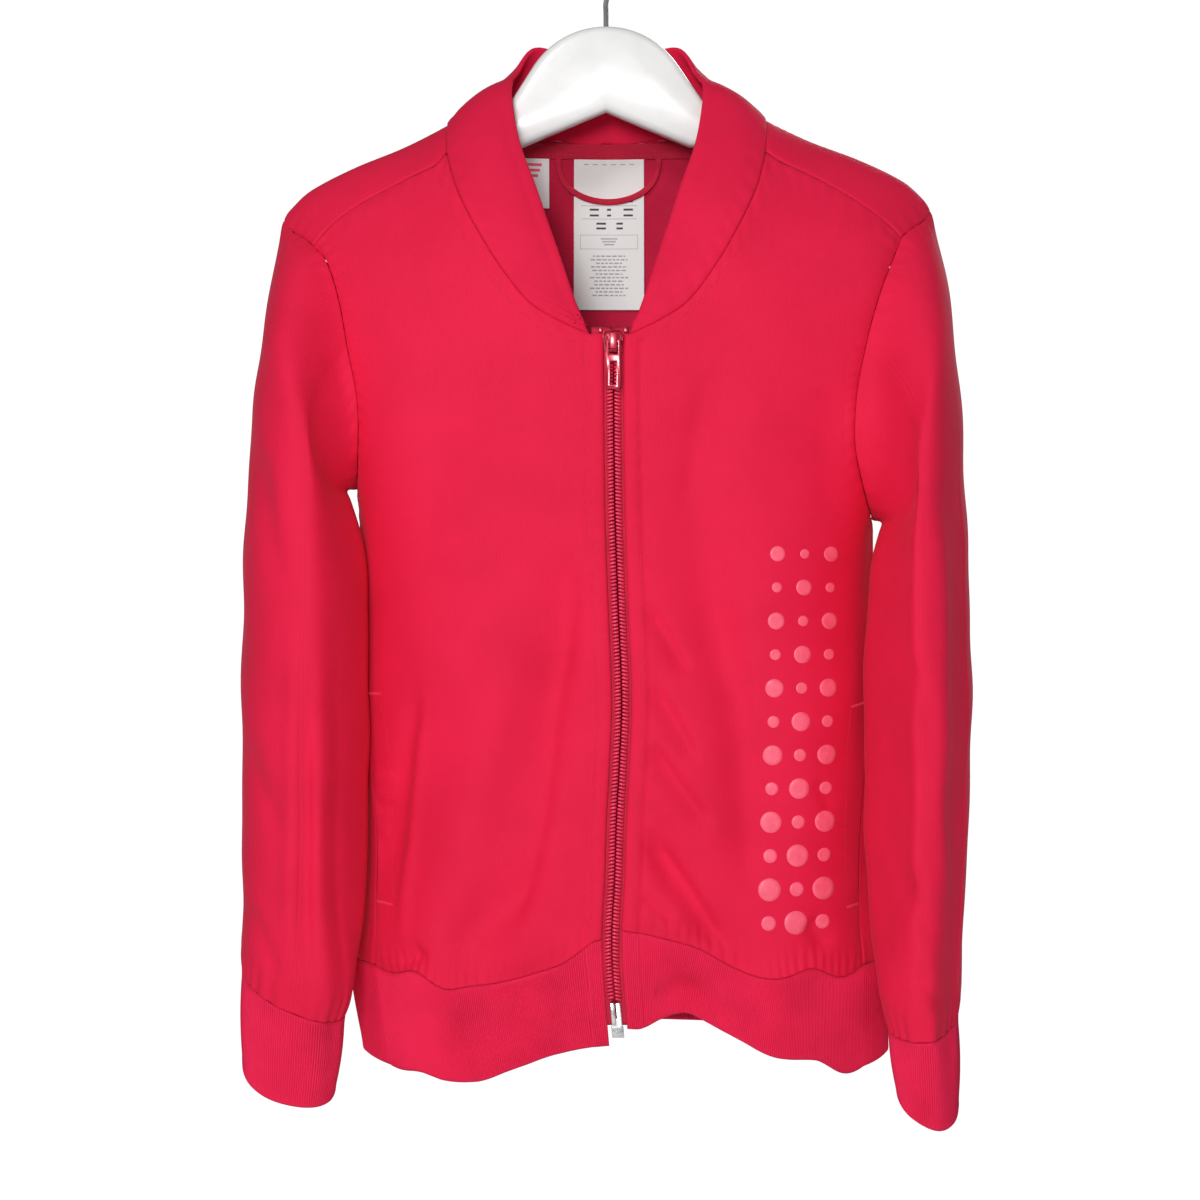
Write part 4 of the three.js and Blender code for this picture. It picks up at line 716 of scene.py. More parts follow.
def foldPush(x, z, folds):
    # how far the listed creases push the cloth out, by the front view's x and z
    push = np.zeros_like(x)
    for fold in folds:
        path = smoothPath(fold["line"])
        reach = max(fold["wide"]) * 2.6
        near = ((x > path[:, 0].min() - reach) & (x < path[:, 0].max() + reach)
                & (z > path[:, 1].min() - reach) & (z < path[:, 1].max() + reach))
        if not near.any():
            continue
        px, pz = x[near], z[near]
        best, turn, along = np.full(px.shape, 1e9), np.ones(px.shape), np.zeros(px.shape)
        count = len(path) - 1
        for k in range(count):
            dx, dz = path[k + 1] - path[k]
            t = np.clip(((px - path[k, 0]) * dx + (pz - path[k, 1]) * dz) / (dx * dx + dz * dz), 0, 1)
            ex, ez = px - path[k, 0] - t * dx, pz - path[k, 1] - t * dz
            far = np.hypot(ex, ez)
            closer = far < best
            best = np.where(closer, far, best)
            turn = np.where(closer, dx * ez - dz * ex, turn)
            along = np.where(closer, (k + t) / count, along)
        wide = np.where(turn > 0, fold["wide"][0], fold["wide"][-1])
        start, end = fold.get("fade", (0.25, 0.25))
        ends = easeStep(along, -0.001, start) * easeStep(1 - along, -0.001, end)
        push[near] += fold["lift"] * np.exp(-(best / wide) ** 2) * ends
    return push


def slowWaves(x, z, waves):
    # broad unevenness of hanging cloth
    total = np.zeros_like(x)
    for wave in waves:
        turn = math.radians(wave["turn"])
        across = x * math.cos(turn) + z * math.sin(turn)
        along = z * math.cos(turn) - x * math.sin(turn)
        bend = wave["bend"] * np.sin(along / wave["bendLong"] + wave["start"] * 1.7)
        total += wave["lift"] * np.sin((across + bend) / wave["long"] * 2 * math.pi + wave["start"])
    return total


def finishPiece(piece, slotName, *nodes, bodyName="jacket"):
    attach(piece, bodyName)
    if nodes:
        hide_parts(*nodes)
    return piece


def seamSink(reach):
    # a seam's allowance pulls the cloth in
    return 0.55 * np.exp(-(reach / 2.6) ** 2)


def pucker(reach, along, look):
    # small gathers that the sewing leaves beside a seam
    wave = np.sin(along / look["pitch"] * 2 * math.pi + 1.3 * np.sin(along / look["pitch"] * 0.9))
    return look["lift"] * wave * np.exp(-((reach - look["off"]) / look["reach"]) ** 2)


# ---------- fronts ----------
fronts = {
    "half": 0.75, "edge": 1.8,
    "zipRidge": {"lift": 0.9, "rise": 2.5, "to": 7.5, "fade": 3, "groove": 0.5, "grooveOff": 9.5,
                 "grooveWide": 1.4},
    "zipPucker": {"pitch": 17, "lift": 0.3, "reach": 5, "off": 9},
    "footPucker": {"pitch": 9, "lift": 0.5, "reach": 7, "off": 5},
    "seamPucker": {"pitch": 11, "lift": 0.32, "reach": 5, "off": 5},
    "mouth": {"top": -450, "foot": -566, "fade": 9, "back": 0.024, "reach": 9, "lip": 1.3},
    "waves": [{"turn": 12, "long": 96, "bend": 14, "bendLong": 60, "lift": 0.7, "start": 0.4},
              {"turn": -22, "long": 61, "bend": 9, "bendLong": 45, "lift": 0.35, "start": 2.1}],
    "folds": {
        "left": [
            {"line": [(-13, -369), (-28, -448), (-37, -521), (-57, -588)], "wide": (5, 10),
             "lift": -3.3, "fade": (0.3, 0.15)},
            {"line": [(-103, -434), (-113, -479), (-124, -557)], "wide": (8, 7), "lift": -3.8},
            {"line": [(-101, -437), (-106, -479), (-117, -596)], "wide": (4, 3.5), "lift": 2.7},
            {"line": [(-115, -602), (-102, -588)], "wide": (5, 5), "lift": -3.8},
            {"line": [(-93, -596), (-26, -543)], "wide": (14, 10), "lift": -3.3},
            {"line": [(-134, -493), (-118, -495)], "wide": (2.5, 2.5), "lift": 1.2},
            {"line": [(-134, -508), (-120, -511)], "wide": (2.5, 2.5), "lift": -1.2},
            {"line": [(-132, -524), (-124, -525)], "wide": (2.5, 2.5), "lift": 1.2},
            {"line": [(-88, -268), (-102, -420)], "wide": (16, 16), "lift": -1.8},
        ],
        "right": [
            {"line": [(58, -257), (47, -333), (40, -353)], "wide": (10, 8), "lift": -2.4},
            {"line": [(53, -367), (72, -448), (81, -571)], "wide": (9, 12), "lift": -3.3},
            {"line": [(22, -392), (34, -412), (48, -436)], "wide": (3.5, 7), "lift": -3.4},
            {"line": [(24, -436), (40, -462), (52, -486)], "wide": (3.5, 7), "lift": -3.2},
            {"line": [(23, -470), (40, -494), (60, -522)], "wide": (4, 8), "lift": -4.2},
            {"line": [(20, -518), (41, -547), (69, -591)], "wide": (4, 9), "lift": -4.6},
            {"line": [(19, -557), (39, -574)], "wide": (4, 4), "lift": -2.2},
            {"line": [(128, -268), (126, -353)], "wide": (12, 12), "lift": -2.2},
            {"line": [(114, -571), (126, -591)], "wide": (6, 6), "lift": -3},
            {"line": [(117, -493), (128, -512)], "wide": (4, 4), "lift": -1.5},
        ],
    },
}


def makeFront(name):
    seam, look = seams[name], fronts
    top = np.concatenate([seam["neckTop"], seam["shoulder"][1:]])
    side = np.concatenate([seam["arm"], seam["side"][1:]])
    places = fillPatch(top, seam["hem"](len(top) - 1), seam["zip"], side)
    places = addEdgeRows(addEdgeRows(places, 0), 1)
    # the pocket's mouth: the front's side edge is drawn back there and stands a little proud
    mouth, points = look["mouth"], bodyPoint(places)
    here = (easeStep(-points[..., 2], -mouth["top"], mouth["fade"] - mouth["top"])
            * easeStep(points[..., 2], mouth["foot"], mouth["foot"] + mouth["fade"]))
    here = here * np.exp(-reachFrom(points, 1, True) / mouth["reach"])
    places[..., 0] *= 1 - mouth["back"] * here
    points, normals = bodyPoint(places), bodyNormal(places)
    reach = {"top": reachFrom(points, 0), "foot": reachFrom(points, 0, True),
             "zip": reachFrom(points, 1), "side": reachFrom(points, 1, True)}
    toSeam = np.minimum.reduce([reach["top"], reach["foot"], reach["side"]])
    x, z = points[..., 0], points[..., 2]
    free = easeStep(toSeam, 0.5, 9)
    nearZip = easeStep(np.abs(x - zipX(z)), 8, 17)
    push = (foldPush(x, z, look["folds"][name]) + slowWaves(x, z, look["waves"])) * nearZip * free
    ridge = look["zipRidge"]
    ridgeEnd = easeStep(reach["zip"], ridge["to"], ridge["to"] + ridge["fade"])
    push += ridge["lift"] * easeStep(reach["zip"], 0, ridge["rise"]) * (1 - ridgeEnd)
    push -= ridge["groove"] * np.exp(-((reach["zip"] - ridge["grooveOff"]) / ridge["grooveWide"]) ** 2)
    down = np.cumsum(np.full(x.shape, 2.9), 0)
    push += pucker(reach["side"], down, look["seamPucker"]) * (z > -345)
    push += pucker(reach["zip"], down, look["zipPucker"])
    across = np.cumsum(np.full(x.shape, 2.2), 1)
    push += pucker(reach["top"], across, look["seamPucker"]) * (reach["zip"] > 6)
    push += pucker(reach["foot"], across, look["footPucker"]) * nearZip
    push += mouth["lip"] * here
    push -= seamSink(reach["side"]) * (1 - here)
    points = points + normals * push[..., None]
    half = look["half"] * edgeRound(np.minimum(toSeam, reach["zip"]), look["edge"])
    uv = np.stack([places[..., 0] * 0.19, places[..., 1] * mm], -1)
    centre = np.stack([bodyRow(z, "mid"), bodyRow(z, "lean"), z], -1)
    piece = buildWall(f"front_{name}_cloth", points, half, uv,
                      [cloth["knitFace"], cloth["knitBack"]], centre)
    return finishPiece(piece, "knit_cloth", f"front_{name}")


frontPieces = {name: makeFront(name) for name in hands}
print("fronts sewn")


# ---------- back ----------
backLook = {
    "half": 0.75, "edge": 1.8,
    "footPucker": {"pitch": 10, "lift": 0.6, "reach": 8, "off": 5},
    "waves": [{"turn": 4, "long": 118, "bend": 16, "bendLong": 80, "lift": 1.2, "start": 1.4},
              {"turn": -15, "long": 70, "bend": 10, "bendLong": 50, "lift": 0.5, "start": 0.2}],
    "folds": [
        {"line": [(-118, -340), (-92, -430), (-84, -585)], "wide": (10, 14), "lift": -3.9},
        {"line": [(112, -350), (96, -450), (104, -590)], "wide": (14, 10), "lift": -3.6},
        {"line": [(-22, -430), (-30, -520), (-22, -596)], "wide": (9, 7), "lift": -3},
        {"line": [(36, -470), (44, -540), (38, -598)], "wide": (8, 8), "lift": -2.7},
        {"line": [(-128, -262), (-96, -310), (-52, -336)], "wide": (10, 12), "lift": -2.7},
        {"line": [(132, -258), (100, -306), (60, -330)], "wide": (12, 10), "lift": -2.7},
        {"line": [(-120, -560), (-112, -596)], "wide": (6, 6), "lift": -3.3},
        {"line": [(118, -560), (124, -596)], "wide": (6, 6), "lift": -3.3},
    ],
}


def makeBack():
    look, left, right = backLook, seams["left"], seams["right"]

    def shoulder(name):
        return spread(seams[name]["shoulderPairs"], cells["shoulderBack"])

    top = np.concatenate([shoulder("left")[1:][::-1], neckBehind(cells["neckBack"]), shoulder("right")[1:]])
    edges = [np.concatenate([seam["armBack"][::-1], seam["sideBack"][1:]]) for seam in (left, right)]
    hem = backLine(left["hemZ"], right["hemZ"], len(top) - 1)
    places = fillPatch(top, hem, *edges)
    places = addEdgeRows(addEdgeRows(places, 0), 1)
    points, normals = bodyPoint(places), bodyNormal(places)
    reach = reachAll(points)
    toSeam = np.minimum.reduce(reach)
    x, z = points[..., 0], points[..., 2]
    low = easeStep(-z, 215, 262)
    push = (foldPush(x, z, look["folds"]) + slowWaves(x, z, look["waves"])) * easeStep(toSeam, 0.5, 12) * low
    down, across = np.cumsum(np.full(x.shape, 2.9), 0), np.cumsum(np.full(x.shape, 2.2), 1)
    push += pucker(reach[1], across, look["footPucker"])
    push += pucker(np.minimum(reach[2], reach[3]), down, fronts["seamPucker"]) * (z > -345)
    push -= seamSink(np.minimum(reach[2], reach[3]))
    points = points + normals * push[..., None]
    half = look["half"] * edgeRound(toSeam, look["edge"])
    uv = np.stack([places[..., 0] * 0.19, places[..., 1] * mm], -1)
    centre = np.stack([bodyRow(z, "mid"), bodyRow(z, "lean"), z - 20], -1)
    piece = buildWall("back_cloth", points, half, uv, [cloth["knitFace"], cloth["knitBack"]], centre)
    return finishPiece(piece, "knit_cloth", "back_panel")


backPiece = makeBack()
print("back sewn")


# ---------- sleeves and cuffs ----------
sleeves = {
    "power": 3, "slant": 0.1, "fallIn": 0.16, "fallOut": {-1: 0.16, 1: 0.34},
    "cornerIn": {-1: 18, 1: 21}, "cornerBehind": {-1: 13, 1: 15}, "cornerFade": (-612, -545),
    "frontTurn": 0.42, "capRows": 2, "rings": 132, "half": 0.75, "edge": 1.8,
    "stations": {
        "left": table("outX outZ inX inZ front back drop", [
            (-187, -172.5, -144.7, -327, -42, 38, 0), (-193, -213.7, -150, -329, -66, 36, 0),
            (-198, -249, -146, -336, -77, 35, 0), (-203, -300.6, -140, -360, -80, 34, 0),
            (-206, -352, -137, -398, -82, 32, 0), (-207.5, -420, -136.5, -452, -82, 28, 3),
            (-207.2, -489, -136.5, -512, -82, 20, 6), (-206.2, -540, -138, -560, -81, 8, 9),
            (-206, -580, -143, -604, -82, -6, 11), (-205.5, -600, -149, -622, -78, -10, 12)]),
        "right": table("outX outZ inX inZ front back drop", [
            (187.5, -168, 155, -345, -44, 38, 0), (196.5, -213.8, 160, -347, -70, 36, 0),
            (199.5, -249, 157, -354, -84, 34, 0), (203, -300.6, 152, -376, -90, 30, 0),
            (204.8, -352, 148.5, -408, -92, 26, 0), (207, -420, 147.5, -458, -92, 20, 3),
            (206.2, -489, 147.5, -516, -92, 10, 6), (203, -540, 149, -566, -92, -4, 8),
            (200.4, -592, 155, -608, -92, -14, 9), (197.5, -626.5, 160, -628, -88, -18, 10)]),
    },
    "ridges": {
        "left": [{"turn": 1.9, "wide": 0.25, "lift": 2.5, "from": 4},
                 {"turn": 2.3, "wide": 0.2, "lift": -2, "from": 4}],
        "right": [{"turn": 1.45, "wide": 0.35, "lift": 5, "from": 2},
                  {"turn": 0.8, "wide": 0.4, "lift": -3, "from": 2}],
    },
    "front": {
        "left": [
            {"line": [(-172, -395), (-173.5, -505), (-174.5, -548), (-176, -604)], "wide": (3, 6),
             "lift": 3.3},
            {"line": [(-167, -440), (-167, -520), (-168, -610)], "wide": (4, 3), "lift": -3.6},
            {"line": [(-196, -300), (-190, -350), (-178, -392)], "wide": (7, 9), "lift": -2.7},
            {"line": [(-203, -470), (-192, -500), (-180, -522)], "wide": (6, 5), "lift": -2.2},
            {"line": [(-204, -560), (-192, -580), (-182, -606)], "wide": (5, 6), "lift": -2.4},
            {"line": [(-160, -250), (-166, -300), (-163, -360)], "wide": (7, 8), "lift": -2.1},
        ],
        "right": [
            {"line": [(184, -330), (186, -420), (184, -520), (188, -590)], "wide": (5, 4), "lift": 2.4},
            {"line": [(172, -250), (176, -320), (174, -400)], "wide": (8, 7), "lift": -2.4},
            {"line": [(168, -420), (175, -455), (182, -470)], "wide": (6, 5), "lift": -2.4},
            {"line": [(166, -540), (174, -568), (184, -582)], "wide": (6, 5), "lift": -2.7},
            {"line": [(170, -596), (180, -612), (190, -618)], "wide": (5, 4), "lift": -2.1},
        ],
    },
    "behind": {
        "left": [
            {"line": [(-160, -300), (-176, -360), (-182, -430)], "wide": (9, 9), "lift": -3},
            {"line": [(-196, -440), (-184, -500), (-176, -590)], "wide": (8, 8), "lift": -3.3},
        ],
        "right": [
            {"line": [(168, -300), (184, -360), (186, -430)], "wide": (9, 9), "lift": -3},
            {"line": [(196, -440), (186, -500), (180, -596)], "wide": (8, 8), "lift": -3.3},
        ],
    },
    "waves": [{"turn": 78, "long": 82, "bend": 8, "bendLong": 30, "lift": 0.5, "start": 0.9},
              {"turn": 60, "long": 47, "bend": 6, "bendLong": 22, "lift": 0.28, "start": 2.6}],
    "capPucker": {"pitch": 10, "lift": 0.4, "reach": 6, "off": 5},
    "cuffPucker": {"pitch": 9, "lift": 0.7, "reach": 9, "off": 5},
}
cuffs = {
    "half": 1.0, "edge": 1.7, "rows": 14, "ribs": 154, "ribLift": 0.34, "ribWide": 1.4,
    "foot": {
        "left": {"outX": -205.5, "outZ": -656, "inX": -155, "inZ": -667, "front": -74, "back": -12,
                 "drop": 13},
        "right": {"outX": 198, "outZ": -681.5, "inX": 165.5, "inZ": -667, "front": -86, "back": -18,
                  "drop": 11}},
}


def ringPoint(row, turn, hand):
    c, s = np.cos(turn), np.sin(turn)
    out = np.sign(c) * np.abs(c) ** (2 / sleeves["power"])
    fore = np.sign(s) * np.abs(s) ** (2 / sleeves["power"])
    slant = hand * sleeves["slant"] * ((row["back"] - row["front"]) / 2) * -fore
    # the corners beside the body are cut back, so that side stands steep
    corner = np.where(fore > 0, sleeves["cornerIn"][hand], sleeves["cornerBehind"][hand])
    corner = corner * easeStep(np.asarray(row["inZ"], float), *sleeves["cornerFade"])
    slant = slant + hand * corner * np.maximum(0, -out) * np.abs(fore)
    fore = fore * (1 - sleeves["fallIn"] * np.maximum(0, -out) ** 1.6
                   - sleeves["fallOut"][hand] * np.maximum(0, out) ** 2)
    return np.stack([
        (row["outX"] + row["inX"]) / 2 + ((row["outX"] - row["inX"]) / 2) * out + slant,
        (row["front"] + row["back"]) / 2 + ((row["front"] - row["back"]) / 2) * fore,
        (row["outZ"] + row["inZ"]) / 2 + ((row["outZ"] - row["inZ"]) / 2) * out - row["drop"] * fore], -1)


def ringPlaces(name, frontCells, backCells):
    seam = seams[name]
    places = np.concatenate([spread(seam["armPairs"], frontCells)[:-1],
                             spread(seam["behindPairs"], backCells)[:-1]])
    start = sleeves["frontTurn"]
    turn = np.concatenate([np.linspace(start, math.pi, frontCells + 1)[:-1],
                           np.linspace(math.pi, 2 * math.pi + start, backCells + 1)[:-1]])
    return places, turn


def sleeveRings(name, at, places, turn):
    hand, count = hands[name], len(sleeves["stations"][name]["outX"])
    rows = {**sleeves["stations"][name], "at": np.arange(count, dtype=float)}
    row = {key: smoothAt(rows, "at", key, at)[:, None] for key in sleeves["stations"][name]}
    p = ringPoint(row, turn[None], hand)
    for ridge in sleeves["ridges"][name]:
        grow = np.clip((at - ridge["from"]) / 2, 0, 1)[:, None]
        p[..., 1] -= ridge["lift"] * grow * np.exp(-((turn[None] - ridge["turn"]) / ridge["wide"]) ** 2)
    free = np.where(at >= sleeves["capRows"], 1, 1 - (1 - at / sleeves["capRows"]) ** 2)[:, None, None]
    return bodyPoint(places)[None] * (1 - free) + p * free


def makeSleeve(name):
    look = sleeves
    places, turn = ringPlaces(name, 52, 84)
    f = np.linspace(0, 1, look["rings"] + 1)
    f = addEdgeRows(f, 0)
    last = len(look["stations"][name]["outX"]) - 1
    at = last * (0.45 * f + 0.55 * f * f)
    points = sleeveRings(name, at, places, turn)
    normals = gridNormals(points, True)
    middle = points.mean(1, keepdims=True)
    if np.sum(normals * (points - middle), -1).mean() < 0:
        normals = -normals
    reach = [reachFrom(points, 0), reachFrom(points, 0, True)]
    x, z = points[..., 0], points[..., 2]
    front = easeStep(np.sin(turn), 0.0, 0.35)[None] * np.ones_like(x)
    push = foldPush(x, z, look["front"][name]) * front
    push += foldPush(x, z, look["behind"][name]) * (1 - front)
    push += slowWaves(x + 60 * np.sin(turn)[None], z, look["waves"])
    push *= easeStep(np.minimum(*reach), 0.5, 14)
    around = np.arange(len(turn)) / len(turn) * 2 * math.pi
    girth = np.linalg.norm(np.diff(points[0], axis=0), axis=-1).sum()
    rim = np.round(girth / look["capPucker"]["pitch"])
    push += look["capPucker"]["lift"] * np.sin(around * rim + 1.1 * np.sin(around * 5))[None] * np.exp(
        -((reach[0] - look["capPucker"]["off"]) / look["capPucker"]["reach"]) ** 2)
    push += look["cuffPucker"]["lift"] * np.sin(around * 24 + 1.3 * np.sin(around * 4))[None] * np.exp(
        -((reach[1] - look["cuffPucker"]["off"]) / look["cuffPucker"]["reach"]) ** 2)
    push -= seamSink(reach[0])
    points = points + normals * push[..., None]
    half = look["half"] * edgeRound(np.minimum(*reach), look["edge"])
    wrapTurn = np.concatenate([turn, turn[:1] + 2 * math.pi])
    uv = np.stack(np.broadcast_arrays(wrapTurn[None] * 0.036, (reach[0].mean(1) * mm)[:, None]), -1)
    piece = buildWall(f"sleeve_{name}_cloth", points, half, uv,
                      [cloth["knitFace"], cloth["knitBack"]], middle, closed=True)
    return finishPiece(piece, "knit_cloth", f"sleeve_{name}")


def makeCuff(name):
    look = cuffs
    columns = look["ribs"] * 4
    frontCells = int(columns * 0.38)
    places, turn = ringPlaces(name, frontCells, columns - frontCells)
    last = float(len(sleeves["stations"][name]["outX"]) - 1)
    top = sleeveRings(name, np.array([last]), places, turn)[0]
    foot = ringPoint(look["foot"][name], turn, hands[name])
    f = addEdgeRows(np.linspace(0, 1, look["rows"] + 1), 0)[:, None, None]
    points = top[None] * (1 - f) + foot[None] * f
    steps = np.linalg.norm(np.roll(points[len(points) // 2], -1, 0) - points[len(points) // 2], axis=-1)
    travel = np.concatenate([[0], np.cumsum(steps)])
    even = np.linspace(0, travel[-1], columns + 1)[:-1]
    wrapped = np.concatenate([points, points[:, :1]], 1)
    points = np.stack([[np.interp(even, travel, row[:, k]) for k in range(3)] for row in wrapped])
    points = points.transpose(0, 2, 1)
    reach = [reachFrom(points, 0), reachFrom(points, 0, True)]
    nearest = np.minimum(*reach)
    column = np.arange(columns)
    waist = 1.6 * np.sin(np.clip(f[..., 0], 0, 1) * math.pi)
    middle = points.mean(1, keepdims=True)
    points = points + unit(points - middle) * (waist - 0.8)[..., None] * easeStep(nearest, 0, 8)[..., None]
    ribs = look["ribLift"] * np.cos(column * math.pi / 2)[None] * easeStep(nearest, 0.3, 2.5)
    half = look["half"] * edgeRound(nearest, look["edge"])
    wrap = (np.arange(columns + 1) + 2) * look["ribWide"] / 4 * mm
    uv = np.stack(np.broadcast_arrays(wrap[None], (reach[0].mean(1) * mm)[:, None]), -1)
    piece = buildWall(f"cuff_{name}_rib", points, half, uv, [cloth["ribKnit"], cloth["ribKnit"]],
                      middle, closed=True, ribs=ribs)
    return finishPiece(piece, "rib_knit", f"cuff_{name}")


sleevePieces = {name: makeSleeve(name) for name in hands}
cuffPieces = {name: makeCuff(name) for name in hands}
print("sleeves and cuffs sewn")


# ---------- hem band ----------
hemLook = {
    "half": 1.0, "edge": 1.7, "rows": 12, "ribLift": 0.34, "ribWide": 1.4,
    "folds": [
        {"line": [(-62, -633), (-20, -602)], "wide": (14, 10), "lift": -2.2},
        {"line": [(27, -602), (69, -625), (97, -633)], "wide": (8, 10), "lift": -3},
        {"line": [(25, -613), (39, -619)], "wide": (5, 5), "lift": -1.6},
    ],
    "waves": [{"turn": 6, "long": 64, "bend": 6, "bendLong": 30, "lift": 0.7, "start": 0.7}],
}


def makeHem():
    look, left, right = hemLook, seams["left"], seams["right"]
    count, behind = cells["hemRib"], cells["hemRibBack"]
    lines = {}
    for key, z in (("hem", "hemZ"), ("foot", "footZ")):
        back = backLine(left[z], right[z], behind)[1:-1]
        lines[key] = np.concatenate([left[key](count), back, right[key](count)[::-1]])
    f = addEdgeRows(np.linspace(0, 1, look["rows"] + 1), 0)[:, None, None]
    places = lines["hem"][None] * (1 - f) + lines["foot"][None] * f
    places = addEdgeRows(places, 1)
    points, normals = bodyPoint(places), bodyNormal(places)
    rows = [reachFrom(points, 0), reachFrom(points, 0, True)]
    ends = [reachFrom(points, 1), reachFrom(points, 1, True)]
    nearest = np.minimum.reduce(rows + ends)
    x, z = points[..., 0], points[..., 2]
    toZip = np.minimum(*ends)
    push = foldPush(x, z, look["folds"]) * easeStep(toZip, 6, 18) * (points[..., 1] < 0)
    push += slowWaves(x + 0.6 * points[..., 1], z, look["waves"]) * easeStep(toZip, 6, 30)
    push *= easeStep(np.minimum(*rows), 0, 8)
    push += 0.9 * np.exp(-((toZip - 5) / 4) ** 2) * easeStep(nearest, 0, 2)
    push -= 0.6 * np.exp(-((toZip - 9.5) / 1.2) ** 2)
    points = points + normals * push[..., None]
    column = np.arange(places.shape[1])
    ribs = look["ribLift"] * np.cos(column * math.pi / 2)[None] * easeStep(nearest, 0.3, 2.5)
    half = look["half"] * edgeRound(nearest, look["edge"])
    uv = np.stack([(column[None] + 2) * look["ribWide"] / 4 * mm + 0 * rows[0], rows[0] * mm], -1)
    centre = np.stack([bodyRow(z, "mid"), bodyRow(z, "lean"), z], -1)
    piece = buildWall("hem_band_rib", points, half, uv, [cloth["ribKnit"], cloth["ribKnit"]],
                      centre, ribs=ribs)
    return finishPiece(piece, "rib_knit", "hem_band")


hemPiece = makeHem()
print("hem band sewn")


# ---------- collar ----------
collarLook = {
    "half": 1.5, "edge": 2.6, "rows": 22,
    "edgeTable": table("half y z bow", [
        (14.5, -62, -236.5, 0.5), (20.5, -61, -219, 1), (27, -57, -199, 2), (34.5, -52, -177, 3),
        (41, -46, -157, 3), (48.5, -36, -136, 4), (53, -22, -116, 4), (55, -6, -95.5, 4.5),
        (50.5, 11, -84, 4.5), (42, 24, -68, 4), (23, 33, -70, 4), (0, 36, -71, 4)]),
    "pucker": {"pitch": 12, "lift": 0.35, "reach": 5, "off": 5},
}


def makeCollar():
    look = collarLook
    behind = neckBehind(cells["neckBack"])
    places = np.concatenate([seams["right"]["neck"], behind[1:-1][::-1], seams["left"]["neck"][::-1]])
    frontCount = cells["neck"]
    backHalf = cells["neckBack"] / 2
    k = np.arange(len(places))
    k = np.minimum(k, len(places) - 1 - k)
    stations = len(cut["neck"]["half"]) - 1
    backStations = len(look["edgeTable"]["half"]) - 1 - stations
    at = np.where(k <= frontCount, stations * k / frontCount,
                  stations + backStations * (k - frontCount) / backHalf)
    rows = {**look["edgeTable"], "at": np.arange(len(look["edgeTable"]["half"]), dtype=float)}
    row = {key: smoothAt(rows, "at", key, at) for key in look["edgeTable"]}
    hand = np.where(np.arange(len(places)) < len(places) / 2, 1, -1)
    shift = cut["neckShift"] * (1 - row["half"] / cut["neckRidge"]) * (row["y"] < 0)
    edge = np.stack([hand * row["half"] + shift, row["y"], row["z"]], -1)
    foot = bodyPoint(places)
    nextFoot = np.concatenate([foot[1:], foot[-1:]])
    lastFoot = np.concatenate([foot[:1], foot[:-1]])
    square = unit(np.cross(edge - foot, lastFoot - nextFoot))
    f = addEdgeRows(np.linspace(1, 0, look["rows"] + 1), 0)[:, None, None]
    bow = square[None] * 4 * f * (1 - f) * row["bow"][None, :, None]
    points = foot[None] * (1 - f) + edge[None] * f + bow
    points = addEdgeRows(points, 1)
    reach = reachAll(points)
    nearest = np.minimum.reduce(reach)
    normals = gridNormals(points)
    centre = np.array([0.0, -15.0, -100.0])
    if np.sum(normals * (points - centre), -1).mean() < 0:
        normals = -normals
    along = reach[2]
    push = pucker(reach[1], along, look["pucker"])
    push += 0.5 * np.sin(along / 47 + 0.8) * easeStep(nearest, 0, 12)
    push -= 0.45 * np.exp(-((reach[0] - 7) / 3) ** 2)
    points = points + normals * push[..., None]
    half = look["half"] * edgeRound(nearest, look["edge"])
    uv = np.stack([reach[2] * mm, reach[0] * mm], -1)
    piece = buildWall("collar_cloth", points, half, uv, [cloth["collarKnit"], cloth["collarKnit"]], centre)
    return finishPiece(piece, "rib_knit", "collar")


collarPiece = makeCollar()
print("collar sewn")


# ---------- places on the finished cloth ----------
def treeOf(piece):
    spots = [vertex.co.copy() for vertex in piece.data.vertices]
    return BVHTree.FromPolygons(spots, [tuple(face.vertices) for face in piece.data.polygons])


def layOn(trees, x, z, side=1, lift=0.0):
    # the cloth's face under a place of the front view (side 1) or back view (-1), in millimetres
    best = None
    for tree in trees:
        start = Vector((x * mm, -side * 0.3, z * mm))
        place, normal, _, far = tree.ray_cast(start, Vector((0, side, 0)))
        if place is not None and (best is None or far < best[2]):
            best = (np.array(place) / mm, np.array(normal), far)
    if best is None:
        return None
    return best[0] + best[1] * lift, best[1]


def evenPath(line, pitch, smooth=True):
    path = smoothPath(line, 80) if smooth and len(line) > 2 else np.array(line, float)
    at = np.concatenate([[0], np.cumsum(np.hypot(*np.diff(path, axis=0).T))])
    count = max(1, int(at[-1] / pitch))
    t = (np.arange(count) + 0.5) * at[-1] / count
    return np.stack([np.interp(t, at, path[:, 0]), np.interp(t, at, path[:, 1])], -1)


def stitchFrames(trees, line, pitch, lift, side=1, smooth=True):
    # a place, a direction and an outward normal for each stitch of a row
    frames = []
    places = evenPath(line, pitch, smooth)
    for k, (x, z) in enumerate(places):
        before, after = places[max(k - 1, 0)], places[min(k + 1, len(places) - 1)]
        here = layOn(trees, x, z, side, lift)
        ends = [layOn(trees, *spot, side, lift) for spot in (before, after)]
        if here is None or None in ends:
            continue
        along = unit(ends[1][0] - ends[0][0])
        out = unit(here[1] - along * np.dot(here[1], along))
        frames.append((here[0], along, out))
    return frames


def shapeOf(piece):
    # vertices and faces of a modelled shape, which is then taken away
    spots = np.array([vertex.co for vertex in piece.data.vertices])
    faces = [tuple(face.vertices) for face in piece.data.polygons]
    bpy.data.objects.remove(piece, do_unlink=True)
    return spots, faces


